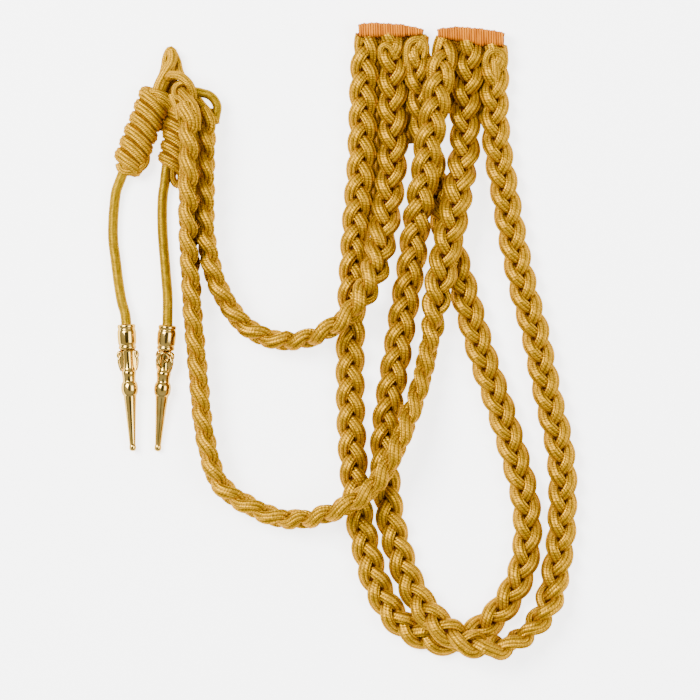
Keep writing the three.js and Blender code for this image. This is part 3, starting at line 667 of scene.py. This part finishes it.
def strand_place(wiring, strand):
    """Where a strand lies in the plait's section, and the turn of its ribbon there"""
    turns = wiring.number("DIVIDE", wiring.attribute("distance"), wiring.inputs["Turn Length"])
    angle = wiring.product(turns, 2 * math.pi)
    first = wiring.number("ADD", wiring.inputs["Start Angle"], 2 * math.pi * strand / STRANDS_IN_PLAIT)
    phase = wiring.number("ADD", angle, first)
    reach = wiring.filled("ShaderNodeMapRange", {
        "Value": wiring.attribute("to_end"),
        "From Max": wiring.inputs["End Length"],
        "To Min": wiring.inputs["End Width"],
        "To Max": wiring.inputs["Plait Width"],
    }, interpolation_type="SMOOTHSTEP")
    rolled = wiring.attribute("rolled")
    broad, thin = wiring.inputs["Ribbon Width"], wiring.inputs["Ribbon Thickness"]
    across = wiring.between(broad, thin, rolled)
    through = wiring.between(thin, broad, wiring.product(rolled, ROLLED_THICKNESS_SHARE))
    room = wiring.number("SUBTRACT", reach.outputs["Result"], across)
    sideways = wiring.product(room, 0.5, wiring.number("SINE", phase))
    height = wiring.number("SUBTRACT", wiring.inputs["Plait Thickness"], through)
    weave = wiring.number("SINE", wiring.product(phase, 2))
    upward = wiring.product(height, 0.5, wiring.product(wiring.inputs["Hand"], weave))
    tilt = wiring.between(wiring.inputs["Edge Tilt"], wiring.inputs["Rolled Edge Tilt"], rolled)
    turn = wiring.product(wiring.number("SINE", phase), tilt)
    return sideways, upward, turn


def core_section(wiring):
    """Cross section of the flat core, coloured dark as painted shade, that is seen between the ribbons"""
    size = wiring.combined(X=wiring.inputs["Core Width"], Y=wiring.inputs["Core Thickness"])
    place = wiring.vector("MULTIPLY", wiring.position(), size)
    return wiring.moved(wiring.circle(CORE_SIDES, 0.5), "Position", place)


def plait_tree():
    """Three ribbed ribbons woven flat along a middle line, round a thin core"""
    wiring = GeometryWiring("flat_plait", {
        "Plait Width": "NodeSocketFloat",
        "Plait Thickness": "NodeSocketFloat",
        "End Width": "NodeSocketFloat",
        "End Length": "NodeSocketFloat",
        "Turn Length": "NodeSocketFloat",
        "Start Angle": "NodeSocketFloat",
        "Hand": "NodeSocketFloat",
        "Edge Tilt": "NodeSocketFloat",
        "Rolled Edge Tilt": "NodeSocketFloat",
        "Core Width": "NodeSocketFloat",
        "Core Thickness": "NodeSocketFloat",
        **RIBBON_INPUTS,
    })
    section = ribbon_section(wiring)
    side = wiring.attribute("side", "FLOAT_VECTOR")
    up = wiring.attribute("up", "FLOAT_VECTOR")
    middle = wiring.stored(wiring.inputs["Path"], "middle", wiring.position(), "FLOAT_VECTOR")
    strands = []
    for strand in range(STRANDS_IN_PLAIT):
        sideways, upward, turn = strand_place(wiring, strand)
        line = wiring.moved(middle, "Offset", wiring.moved_along(side, sideways, up, upward))
        falling = wiring.product(wiring.number("SINE", turn), -1)
        broad_side = wiring.moved_along(side, wiring.number("COSINE", turn), up, falling)
        strands.append(swept_ribbon(wiring, line, broad_side, section))
    strands.append(swept_ribbon(wiring, middle, side, core_section(wiring)))
    # Painted shade: the nearer a point lies to the plait's middle line, the darker it is coloured, so the
    # core and the inner sides of the strands look shaded
    from_middle = wiring.vector("SUBTRACT", wiring.position(), wiring.attribute("middle", "FLOAT_VECTOR"))
    across = wiring.number("DIVIDE", wiring.dot(from_middle, side), wiring.inputs["Plait Width"])
    above = wiring.number("DIVIDE", wiring.dot(from_middle, up), wiring.inputs["Plait Thickness"])
    squares = wiring.number("ADD", wiring.number("POWER", across, 2), wiring.number("POWER", above, 2))
    outward = wiring.product(wiring.number("SQRT", squares), 2)
    wiring.finish([wiring.stored(wiring.united(strands), "outward", outward)])
    return wiring.tree


def smooth_value(before, start, end, after, share):
    slope = end - before
    bend = 2 * before - 5 * start + 4 * end - after
    twist = 3 * (start - end) + after - before
    return start + 0.5 * share * (slope + share * (bend + share * twist))


def smooth_row(rows, position):
    """A row of a table at a place between its rows, on a smooth line through them"""
    index = min(int(position), len(rows) - 2)
    before = rows[max(index - 1, 0)]
    after = rows[min(index + 2, len(rows) - 1)]
    columns = zip(before, rows[index], rows[index + 1], after)
    return [smooth_value(*values, position - index) for values in columns]


def half_height(width, roll):
    """Half the height of a plait that lies rolled"""
    to_side = 0.5 * (width - STRAND_DIAMETER) * abs(math.sin(roll))
    to_crossing = 0.5 * to_side + 0.5 * (PLAIT_THICKNESS - STRAND_DIAMETER) * abs(math.cos(roll))
    corner = ROLLED_CORNER_ROOM * math.sin(2 * roll) ** 2
    return 0.5 * STRAND_DIAMETER + max(to_side, to_crossing) + corner + RIBBON_EDGE_ROOM


def plait_samples(route, width):
    """Points on a plait's middle line, each with its roll"""
    count = (len(route) - 1) * SAMPLES_PER_POINT
    samples = []
    for step in range(count + 1):
        x, y, level, degrees = smooth_row(route, step / SAMPLES_PER_POINT)
        roll = math.radians(degrees)
        lift = max(level, 0) * (PLAIT_THICKNESS + LIFT_CLEARANCE)
        samples.append((Vector((x, y, half_height(width, roll) + lift)), roll))
    return samples


def axes_at(points, index, roll):
    """Sideways and upward directions of a line at one of its points, turned by a roll"""
    ahead = points[min(index + 1, len(points) - 1)]
    behind = points[max(index - 1, 0)]
    direction = (ahead - behind).normalized()
    flat_side = direction.cross(UP).normalized()
    flat_up = flat_side.cross(direction)
    side = flat_side * math.cos(roll) + flat_up * math.sin(roll)
    up = flat_up * math.cos(roll) - flat_side * math.sin(roll)
    return side, up


def distances_along(points):
    distances = [0]
    for start, end in zip(points, points[1:]):
        distances.append(distances[-1] + (end - start).length)
    return distances


def even_places(distances, step):
    """Places at even steps along a line, each as the index of a point and a share of the way to the next"""
    length = distances[-1]
    count = max(round(length / step), 2)
    places = []
    index = 0
    for place in range(count + 1):
        target = length * place / count
        while index < len(distances) - 2 and distances[index + 1] < target:
            index += 1
        share = (target - distances[index]) / (distances[index + 1] - distances[index])
        places.append((index, share, target))
    return places


def path_object(name, points, columns, closed=False):
    """A path of edges with a column of values for each of its points"""
    edges = [(index, index + 1) for index in range(len(points) - 1)]
    if closed:
        edges.append((len(points) - 1, 0))
    mesh = bpy.data.meshes.new(name)
    mesh.from_pydata(points, edges, [])
    for label, values in columns.items():
        is_vector = isinstance(values[0], Vector)
        kind = "FLOAT_VECTOR" if is_vector else "FLOAT"
        attribute = mesh.attributes.new(label, kind, "POINT")
        if is_vector:
            attribute.data.foreach_set("vector", [part for value in values for part in value])
        else:
            attribute.data.foreach_set("value", values)
    piece = bpy.data.objects.new(name, mesh)
    bpy.context.collection.objects.link(piece)
    return piece


def grown(piece, tree, values):
    """Turns a path into the plain mesh that a tree makes of it"""
    modifier = piece.modifiers.new("shape", "NODES")
    modifier.node_group = tree
    for item in tree.interface.items_tree:
        if item.name in values:
            modifier[item.identifier] = values[item.name]
    evaluated = piece.evaluated_get(bpy.context.evaluated_depsgraph_get())
    mesh = bpy.data.meshes.new_from_object(evaluated)
    piece.modifiers.clear()
    piece.data = mesh
    mesh.name = piece.name
    return piece


def tucked(samples, start_tuck, end_tuck):
    """The samples of a middle line, drawn out straight at both ends to tuck under what holds them"""
    (first, first_roll), (second, _) = samples[:2]
    (before, _), (last, last_roll) = samples[-2:]
    longer = list(samples)
    if start_tuck:
        longer.insert(0, (first + (first - second).normalized() * start_tuck, first_roll))
    if end_tuck:
        longer.append((last + (last - before).normalized() * end_tuck, last_roll))
    return longer


def plait(name, route, width, hand, start_degrees, turn, start_tuck, end_tuck, tree, material):
    """Three ribbons woven along a route, with their ends tucked under what holds them"""
    samples = tucked(plait_samples(route, width), start_tuck, end_tuck)
    points = [point for point, roll in samples]
    axes = [axes_at(points, index, roll) for index, (point, roll) in enumerate(samples)]
    distances = distances_along(points)
    middle_line, sides, ups, walked, to_ends, rolled = [], [], [], [], [], []
    for index, share, distance in even_places(distances, PATH_STEP):
        middle_line.append(points[index].lerp(points[index + 1], share))
        sides.append(axes[index][0].lerp(axes[index + 1][0], share).normalized())
        ups.append(axes[index][1].lerp(axes[index + 1][1], share).normalized())
        walked.append(distance - start_tuck)
        to_ends.append(min(distance, distances[-1] - distance))
        rolled.append(math.sin(samples[index][1]) ** 2)
    columns = {"side": sides, "up": ups, "distance": walked, "to_end": to_ends, "rolled": rolled}
    path = path_object(name, middle_line, columns)
    return grown(path, tree, {
        "Plait Width": width,
        "Plait Thickness": PLAIT_THICKNESS,
        "End Width": PLAIT_END_WIDTH,
        "End Length": PLAIT_END_LENGTH,
        "Turn Length": turn,
        "Start Angle": math.radians(start_degrees),
        "Hand": hand,
        "Edge Tilt": EDGE_TILT,
        "Rolled Edge Tilt": ROLLED_EDGE_TILT,
        "Core Width": CORE_WIDTH,
        "Core Thickness": CORE_THICKNESS,
        "Ribbon Width": RIBBON_WIDTH,
        "Ribbon Thickness": RIBBON_THICKNESS,
        "Ribs": RIBBON_RIBS,
        "Rib Depth": RIB_DEPTH,
        "Section Points": RIBBON_RIBS * POINTS_PER_RIB,
        "Material": material,
    })


def smooth_route(route, step):
    """Points at even steps on a smooth line through a route"""
    fine = [Vector(smooth_row(route, place / SAMPLES_PER_POINT))
            for place in range((len(route) - 1) * SAMPLES_PER_POINT + 1)]
    places = even_places(distances_along(fine), step)
    return [fine[index].lerp(fine[index + 1], share) for index, share, target in places]


def ribbon(name, points, broad_sides, tree, material, width, thickness, ribs, edge_shade=0.0,
           section_points=None, closed=False, outward=AT_SURFACE):
    """A ribbed ribbon along a line, or a plain cord if it has no ribs"""
    columns = {"broad_side": broad_sides, "distance": distances_along(points)}
    path = path_object(name, points, columns, closed)
    return grown(path, tree, {
        "Outward": outward,
        "Edge Shade": edge_shade,
        "Ribbon Width": width,
        "Ribbon Thickness": thickness,
        "Ribs": ribs,
        "Rib Depth": RIB_DEPTH if ribs else 0.0,
        "Section Points": section_points or ribs * POINTS_PER_RIB,
        "Material": material,
    })


def level_sides(points):
    """Broad sides that lie level across a line"""
    return [axes_at(points, index, 0)[0] for index in range(len(points))]


def joined(name, pieces):
    """Several pieces joined into one object"""
    with bpy.context.temp_override(active_object=pieces[0], selected_editable_objects=pieces):
        bpy.ops.object.join()
    pieces[0].name = name
    pieces[0].data.name = name
    return pieces[0]


def mesh_object(name, points, faces, material, columns=None):
    mesh = bpy.data.meshes.new(name)
    mesh.from_pydata(points, [], faces)
    mesh.materials.append(material)
    mesh.shade_smooth()
    for label, values in (columns or {}).items():
        mesh.attributes.new(label, "FLOAT", "POINT").data.foreach_set("value", values)
    piece = bpy.data.objects.new(name, mesh)
    bpy.context.collection.objects.link(piece)
    return piece


def lofted_faces(ring_count, sides):
    """Faces of a closed body through rings of points, with a flat face at each end"""
    faces = []
    for ring in range(ring_count - 1):
        for side in range(sides):
            near = ring * sides + side
            beside = ring * sides + (side + 1) % sides
            faces.append((near, beside, beside + sides, near + sides))
    last = (ring_count - 1) * sides
    faces.append(tuple(reversed(range(sides))))
    faces.append(tuple(range(last, last + sides)))
    return faces


def section_at(sections, share):
    """Lower and upper edge of a head at a share of its width"""
    for start, end in zip(sections, sections[1:]):
        if share <= end[0]:
            part = (share - start[0]) / (end[0] - start[0])
            return start[1] + part * (end[1] - start[1]), start[2] + part * (end[2] - start[2])
    return sections[-1][1:]


def head_outline(lower, upper, angle, inset):
    """The y and z of a head's rounded cross section at an angle round it"""
    middle = 0.5 * (lower + upper) * HEAD_DEPTH
    half_depth = 0.5 * (upper - lower) * HEAD_DEPTH - inset
    half_height_here = 0.5 * HEAD_THICKNESS - inset
    cosine, sine = math.cos(angle), math.sin(angle)
    y = half_depth * math.copysign(abs(cosine) ** HEAD_SQUARENESS, cosine)
    z = half_height_here * math.copysign(abs(sine) ** HEAD_SQUARENESS, sine)
    return middle + y, 0.5 * HEAD_THICKNESS + z


def head(name, place, width, sections, tree, material):
    """Thread wound round the ends of the plaits, over a plain core"""
    turns = round(width / HEAD_THREAD)
    radius = 0.5 * HEAD_THREAD
    points = []
    for step in range(turns * HEAD_STEPS_PER_TURN + 1):
        turn = step / HEAD_STEPS_PER_TURN
        share = -0.5 + (turn + 0.5) / (turns + 1)
        lower, upper = section_at(sections, share)
        wobble = sum(size * math.sin(rate * int(turn)) for size, rate in HEAD_WOBBLES)
        y, z = head_outline(lower, upper, 2 * math.pi * turn, radius + wobble)
        points.append(place + Vector((share * width, y, z)))
    sides = [Vector((1, 0, 0))] * len(points)
    winding = ribbon(name + "_winding", points, sides, tree, material,
                     HEAD_THREAD_OVERLAP * HEAD_THREAD, HEAD_THREAD, 0, section_points=HEAD_THREAD_SIDES)
    core_points = []
    for share in HEAD_CORE_SHARES:
        lower, upper = section_at(sections, share)
        for side in range(HEAD_CORE_SIDES):
            angle = 2 * math.pi * side / HEAD_CORE_SIDES
            y, z = head_outline(lower, upper, angle, HEAD_THREAD * HEAD_CORE_INSET_SHARE)
            core_points.append(place + Vector((share * width, y, z)))
    faces = lofted_faces(len(HEAD_CORE_SHARES), HEAD_CORE_SIDES)
    return joined(name, [winding, mesh_object(name + "_core", core_points, faces, material)])


def axes_of(start, end):
    """Directions along a straight piece, across it and up from it"""
    along = (end - start).normalized()
    across = UP.cross(along).normalized()
    return along, across, along.cross(across)


def folded_ribbon(name, route, width, thickness, ribs, outward, tree, material, edge_shade=FOLD_EDGE_SHADE):
    line = smooth_route(route, CORD_STEP)
    return ribbon(name, line, level_sides(line), tree, material, width, thickness, ribs, edge_shade,
                  outward=outward)


def folded_ribbons(rows, tree, material):
    """The ribbons of a table"""
    return [folded_ribbon(*row, tree, material) for row in rows]


def knot_core(name, width, start, end, material):
    """The body inside a knot's windings, narrower at its ends, coloured dark as painted shade"""
    along, across, upward = axes_of(start, end)
    length = (end - start).length
    inset = KNOT_CORE_INSET_SHARE * KNOT_RIBBON_THICKNESS
    points = []
    for share, scale in KNOT_CORE_SECTIONS:
        for side in range(KNOT_CORE_SIDES):
            angle = 2 * math.pi * side / KNOT_CORE_SIDES
            sideways = 0.5 * (width - inset) * scale * math.cos(angle)
            height = 0.5 * (KNOT_THICKNESS - inset) * scale * math.sin(angle)
            points.append(start + along * (share * length) + across * sideways + upward * height)
    faces = lofted_faces(len(KNOT_CORE_SECTIONS), KNOT_CORE_SIDES)
    return mesh_object(name, points, faces, material, {"outward": [PAINTED_SHADE_DEPTH] * len(points)})


def knot(name, width, start, end, tree, material):
    """Windings of a ribbed ribbon round a core, slanting down to the right"""
    along, across, upward = axes_of(start, end)
    pitch = (end - start).length / KNOT_WINDINGS
    points = []
    for step in range(KNOT_WINDINGS * KNOT_STEPS_PER_TURN + 1):
        turn = step / KNOT_STEPS_PER_TURN
        angle = 2 * math.pi * (turn - 0.25)
        right = -math.cos(angle)
        to_end = min((KNOT_WINDINGS - turn) / KNOT_END_TURNS, 1)
        place = pitch * turn + KNOT_SLANT * to_end * (right + KNOT_BEND * right * right)
        narrowing = 1 - KNOT_END_NARROWING * (1 - to_end) ** 2
        unevenness = narrowing + KNOT_UNEVENNESS * math.sin(KNOT_UNEVENNESS_RATE * turn)
        sideways = 0.5 * (width - KNOT_RIBBON_THICKNESS) * right * unevenness
        height = 0.5 * (KNOT_THICKNESS - KNOT_RIBBON_THICKNESS) * math.sin(angle)
        points.append(start + along * place + across * sideways + upward * height)
    windings = ribbon(name + "_windings", points, [along] * len(points), tree, material,
                      KNOT_WINDING_OVERLAP * pitch, KNOT_RIBBON_THICKNESS, RIBBON_RIBS, KNOT_EDGE_SHADE)
    return [windings, knot_core(name + "_core", width, start, end, material)]


def end_ring(tree, material):
    """A ring with the ribbons that fill it and lie round it"""
    middle = 0.5 * (END_RING_DIAMETER - END_RING_THICKNESS)
    points, sides = [], []
    for step in range(END_RING_STEPS):
        angle = 2 * math.pi * step / END_RING_STEPS
        outward = Vector((math.cos(angle), math.sin(angle), 0))
        points.append(END_RING_PLACE + outward * middle)
        sides.append(outward)
    ring = ribbon("right_end_ring", points, sides, tree, material, END_RING_THICKNESS, END_RING_THICKNESS,
                  END_RING_RIBS, closed=True, section_points=END_RING_RIBS * POINTS_PER_RIB)
    return joined("right_end_ring", [ring] + folded_ribbons(END_RING_RIBBONS, tree, material))


def scroll(name, route, start, along, outward, width, thickness, tree, material):
    """The raised edge of a scroll on one side of a tag"""
    sideways = along.cross(outward)
    rows = [start + along * (share * TAG_LENGTH) + (sideways * beside + outward * out) * (TAG_DIAMETER / 2)
            for share, beside, out in route]
    line = smooth_route(rows, SCROLL_STEP)
    return ribbon(name, line, [sideways] * len(line), tree, material, width, thickness, 0,
                  section_points=SCROLL_SIDES)


def tag(name, start, end, scroll_turn, tree, material):
    """A turned metal tag with raised scrolls on two sides, and one more in front if those are turned"""
    along, across, upward = axes_of(start, end)
    points = []
    count = (len(TAG_OUTLINE) - 1) * TAG_ROWS_PER_SECTION
    for step in range(count + 1):
        share, body_radius, scroll_radius = smooth_row(TAG_OUTLINE, step / TAG_ROWS_PER_SECTION)
        for side in range(TAG_SIDES):
            angle = 2 * math.pi * side / TAG_SIDES
            outward = across * math.cos(angle) + upward * math.sin(angle)
            at_scroll = abs(math.cos(angle - scroll_turn)) ** SCROLL_SHARPNESS
            radius = max(body_radius + (scroll_radius - body_radius) * at_scroll, SMALLEST_TAG_SHARE)
            points.append(start + along * (share * TAG_LENGTH) + outward * (radius * TAG_DIAMETER / 2))
    parts = [mesh_object(name + "_body", points, lofted_faces(count + 1, TAG_SIDES), material)]
    for turn in (scroll_turn, scroll_turn + math.pi):
        outward = across * math.cos(turn) + upward * math.sin(turn)
        parts.append(scroll(name + "_scroll", SIDE_SCROLL_ROUTE, start, along, outward,
                            SIDE_SCROLL_WIDTH, SIDE_SCROLL_THICKNESS, tree, material))
    if scroll_turn:
        parts.append(scroll(name + "_front_scroll", FRONT_SCROLL_ROUTE, start, along, upward,
                            FRONT_SCROLL_WIDTH, FRONT_SCROLL_THICKNESS, tree, material))
    return joined(name, parts)


def shader(name):
    """A new material, the wiring of its tree and its surface node"""
    material = bpy.data.materials.new(name)
    material.use_nodes = True
    material.node_tree.nodes.clear()
    wiring = Wiring(material.node_tree)
    surface = wiring.node("ShaderNodeBsdfPrincipled")
    wiring.filled("ShaderNodeOutputMaterial", {"Surface": surface.outputs[0]})
    return material, wiring, surface


def coat(wiring, surface, colour, roughness, metallic=0.0, specular=0.5, tint=WHITE):
    """Gives a surface its colour, and a finish on the shader's own sockets"""
    settings = {
        "Base Color": colour,
        "Roughness": roughness,
        "Metallic": metallic,
        "Specular IOR Level": specular,
        "Specular Tint": tint,
    }
    for label, value in settings.items():
        wiring.put(value, surface.inputs[label])


def mixed(wiring, factor, first, second):
    """A colour between two. A mix node keeps its colours in the inputs 6 and 7."""
    inputs = {"Factor": factor, 6: first, 7: second}
    return wiring.filled("ShaderNodeMix", inputs, data_type="RGBA").outputs[2]


def ranged(wiring, value, low, high, first=0.0, last=1.0):
    """A value that goes smoothly from first to last while another goes from low to high"""
    inputs = {"Value": value, "From Min": low, "From Max": high, "To Min": first, "To Max": last}
    return wiring.filled("ShaderNodeMapRange", inputs, interpolation_type="SMOOTHSTEP").outputs["Result"]


def noise_at(wiring, place, scale=1.0, detail=2.0):
    inputs = {"Vector": place, "Scale": scale, "Detail": detail}
    return wiring.filled("ShaderNodeTexNoise", inputs).outputs["Fac"]


def object_place(wiring):
    return wiring.node("ShaderNodeTexCoord").outputs["Object"]


def attribute_value(wiring, name, output="Fac"):
    return wiring.node("ShaderNodeAttribute", attribute_name=name).outputs[output]


def wound_thread(wiring, pitch, slant):
    """Fine threads across a cord: 1 on a thread and 0 between two"""
    along = wiring.number("DIVIDE", attribute_value(wiring, "distance"), pitch)
    beside = wiring.sideways_part(attribute_value(wiring, "section", "Vector"))
    leaning = wiring.number("ADD", along, wiring.product(beside, slant))
    wave = wiring.number("SINE", wiring.product(leaning, 2 * math.pi))
    return wiring.number("MULTIPLY_ADD", wave, 0.5, 0.5)


def bumped(wiring, surface, height, distance, strength):
    bump = wiring.filled("ShaderNodeBump", {"Height": height, "Distance": distance, "Strength": strength})
    wiring.put(bump.outputs["Normal"], surface.inputs["Normal"])


def stretched_noise(wiring, around, along):
    """Noise that is drawn out along a ribbon, so that each of its thin cords differs a little"""
    section = wiring.scaled(attribute_value(wiring, "section", "Vector"), around)
    lengthwise = wiring.combined(Z=wiring.product(attribute_value(wiring, "distance"), along))
    return noise_at(wiring, wiring.vector("ADD", section, lengthwise))


def gold_thread_material():
    """Ribbons of gold thread: bright crests with a painted glint speckle, and painted shade: brown in the rib
    valleys and dark red-brown in the depths
    """
    material, wiring, surface = shader("gold_thread")
    rib = attribute_value(wiring, "rib")
    outward = attribute_value(wiring, "outward")
    streaks = stretched_noise(wiring, 3.2, 160)
    # Painted glints: a fine speckle of darker spots among the bright crests stands in for the glints of metal
    # thread
    glint_speckle = noise_at(wiring, object_place(wiring), 1300, 1)
    crest = mixed(wiring, ranged(wiring, streaks, 0.3, 0.7), CREST_SHADED, CREST_BRIGHT)
    bright = mixed(wiring, ranged(wiring, glint_speckle, 0.3, 0.7), GLINT_SPECKLE_DARK, crest)
    thread = wound_thread(wiring, THREAD_PITCH, THREAD_SLANT)
    spun = mixed(wiring, ranged(wiring, thread, 0.0, 0.5, 0.5, 1.0), THREAD_GAP, bright)
    # Painted shade: the valleys between the ribs are coloured darker brown
    valley = mixed(wiring, ranged(wiring, rib, 0.0, 0.55, 0.15, 1.0), RIB_VALLEY_PAINTED_SHADE, spun)
    # Painted shade: what lies far inside a plait or knot, and the dark sheets, are coloured dark red-brown
    depth_shaded = mixed(wiring, ranged(wiring, outward, 0.3, 0.62), DEPTH_PAINTED_SHADE, valley)
    coat(wiring, surface, depth_shaded, 0.46, 0.75, 0.1, GOLD_SHEEN)
    bumped(wiring, surface, thread, 0.00016, 0.7)
    return material


def smooth_cord_material():
    """Round gold cords, wound with fine thread"""
    material, wiring, surface = shader("smooth_gold_cord")
    cloud = stretched_noise(wiring, 1.2, 220)
    thread = wound_thread(wiring, CORD_THREAD_PITCH, CORD_THREAD_SLANT)
    lit = mixed(wiring, ranged(wiring, cloud, 0.3, 0.7), CORD_SHADED, CORD_BRIGHT)
    colour = mixed(wiring, ranged(wiring, thread, 0.0, 0.5, 0.35, 1.0), CORD_THREAD_GAP, lit)
    coat(wiring, surface, colour, 0.42, 0.75, 0.1, GOLD_SHEEN)
    bumped(wiring, surface, thread, 0.00015, 0.7)
    return material


def orange_thread_material():
    """Orange thread wound close, with painted shade where two windings meet"""
    material, wiring, surface = shader("orange_thread")
    across_threads = noise_at(wiring, wiring.vector("MULTIPLY", object_place(wiring), (800, 60, 60)))
    thread = mixed(wiring, ranged(wiring, across_threads, 0.3, 0.7), ORANGE_SHADED, ORANGE_BRIGHT)
    beside = wiring.number("ABSOLUTE", wiring.sideways_part(attribute_value(wiring, "section", "Vector")))
    # Painted shade: the sides of each orange winding, where it meets the next, are coloured dark
    colour = mixed(wiring, ranged(wiring, beside, 0.35, 1.0), thread, ORANGE_GAP_PAINTED_SHADE)
    coat(wiring, surface, colour, 0.7, specular=0.05)
    return material


def polished_tag_material():
    """Polished gold metal with faint wear"""
    material, wiring, surface = shader("polished_gold")
    cloud = noise_at(wiring, object_place(wiring), 140, 3)
    colour = mixed(wiring, ranged(wiring, cloud, 0.3, 0.7), METAL_SHADED, METAL_BRIGHT)
    coat(wiring, surface, colour, ranged(wiring, cloud, 0.3, 0.7, 0.08, 0.14), 1.0, tint=METAL_SHEEN)
    return material


def floor_material():
    """A pale floor that glows, so that it looks nearly white"""
    material, wiring, surface = shader("pale_floor")
    cloud = noise_at(wiring, object_place(wiring), 3)
    coat(wiring, surface, mixed(wiring, cloud, FLOOR_SHADED, FLOOR_BRIGHT), 0.9)
    wiring.put(WHITE, surface.inputs["Emission Color"])
    wiring.put(FLOOR_GLOW, surface.inputs["Emission Strength"])
    return material


def set_camera():
    """A camera that looks straight down and sees the picture's width at the height of the plaits"""
    data = bpy.data.cameras.new("camera")
    data.sensor_width = SENSOR_WIDTH
    data.lens = SENSOR_WIDTH * (CAMERA_HEIGHT - FOCUS_HEIGHT) / PICTURE_WIDTH
    camera = bpy.data.objects.new("camera", data)
    camera.location = (*PICTURE_MIDDLE, CAMERA_HEIGHT)
    bpy.context.collection.objects.link(camera)
    bpy.context.scene.camera = camera


def area_light(name, place, power, target):
    """A large soft light turned to a place"""
    data = bpy.data.lights.new(name, "AREA")
    data.size = LIGHT_SIZE
    data.energy = power
    light = bpy.data.objects.new(name, data)
    light.location = place
    light.rotation_euler = (Vector(target) - Vector(place)).to_track_quat("-Z", "Y").to_euler()
    bpy.context.collection.objects.link(light)


def studio_world():
    """Soft light from all round: bright high at the sides, dark straight above, where the camera stands"""
    world = bpy.data.worlds.new("studio")
    world.use_nodes = True
    wiring = Wiring(world.node_tree)
    place = wiring.node("ShaderNodeTexCoord").outputs["Generated"]
    direction = wiring.filled("ShaderNodeSeparateXYZ", {0: place})
    high = ranged(wiring, direction.outputs["Z"], 0.15, 0.5, 0.3, 0.9)
    above = ranged(wiring, direction.outputs["Z"], 0.92, 0.95, 1.0, 0.12)
    background = world.node_tree.nodes["Background"]
    background.inputs["Color"].default_value = WHITE
    wiring.put(wiring.product(high, above), background.inputs["Strength"])
    return world


def set_studio():
    corners = [(-1, -1), (1, -1), (1, 1), (-1, 1)]
    points = [(x * FLOOR_REACH, y * FLOOR_REACH, 0) for x, y in corners]
    floor = mesh_object("floor", points, [(0, 1, 2, 3)], floor_material())
    for light in LIGHTS:
        area_light(*light, target=(*PICTURE_MIDDLE, 0))
    bpy.context.scene.world = studio_world()


def place_piece(piece, nodes):
    """Says what a piece rides on and which solids it stands for"""
    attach(piece, "root")
    if nodes:
        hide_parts(*nodes)


def round_cord(name, route, step, diameter, tree, material):
    """A round cord along a route, and the points of its middle line"""
    line = smooth_route(route, step)
    cord = ribbon(name, line, level_sides(line), tree, material, diameter, diameter, 0,
                  section_points=ROUND_CORD_SIDES)
    place_piece(cord, [name])
    return cord, line


def tag_cord(name, route, tree, material):
    """A cord that lies loose from a knot to a tag"""
    cord, line = round_cord(name, route, PATH_STEP, TAG_CORD_DIAMETER, tree, material)


set_camera()
set_studio()

gold_thread = gold_thread_material()
smooth_cord = smooth_cord_material()
orange_thread = orange_thread_material()
polished_gold = polished_tag_material()
ribbon_tree = single_ribbon_tree()
weave_tree = plait_tree()

left_tag, right_tag = [tag(*tag_row, ribbon_tree, polished_gold) for tag_row in TAGS]
place_piece(left_tag, ["left_tag"])
place_piece(right_tag, ["right_tag"])
tag_cord("left_tag_cord", LEFT_TAG_CORD_ROUTE, ribbon_tree, smooth_cord)
tag_cord("right_tag_cord", RIGHT_TAG_CORD_ROUTE, ribbon_tree, smooth_cord)

for plait_row in PLAITS:
    place_piece(plait(*plait_row, weave_tree, gold_thread), [plait_row[0]])

for head_row in HEADS:
    place_piece(head(*head_row, ribbon_tree, orange_thread), [head_row[0]])

for *knot_row, rows in KNOTS:
    parts = knot(*knot_row, ribbon_tree, gold_thread) + folded_ribbons(rows, ribbon_tree, gold_thread)
    place_piece(joined(knot_row[0], parts), [knot_row[0]])
place_piece(end_ring(ribbon_tree, gold_thread), ["right_end_ring"])

for piece_name, rows in (("button_loop", BUTTON_LOOP_RIBBONS), ("button_loop_inner", INNER_LOOP_RIBBONS)):
    loop = joined(piece_name, folded_ribbons(rows, ribbon_tree, gold_thread))
    place_piece(loop, [piece_name])
round_cord("link_ring", LINK_RING_ROUTE, CORD_STEP, LINK_DIAMETER, ribbon_tree, smooth_cord)
knot_end = joined("right_knot_end", folded_ribbons(KNOT_END_RIBBONS, ribbon_tree, gold_thread))
place_piece(knot_end, ["right_knot_end"])

for fold in folded_ribbons(FOLDS, ribbon_tree, gold_thread):
    place_piece(fold, [])
# Sheets of painted shadow, coloured dark, laid low under the gaps between parts
for sheet_name, places, height, width in SHADOW_SHEETS:
    sheet_route = [(x, y, height) for x, y in places]
    shadow_sheet = folded_ribbon(sheet_name, sheet_route, width, SHADOW_SHEET_THICKNESS, RIBBON_RIBS, PAINTED_SHADE_DEPTH,
                         ribbon_tree, gold_thread, edge_shade=0)
    place_piece(shadow_sheet, [])
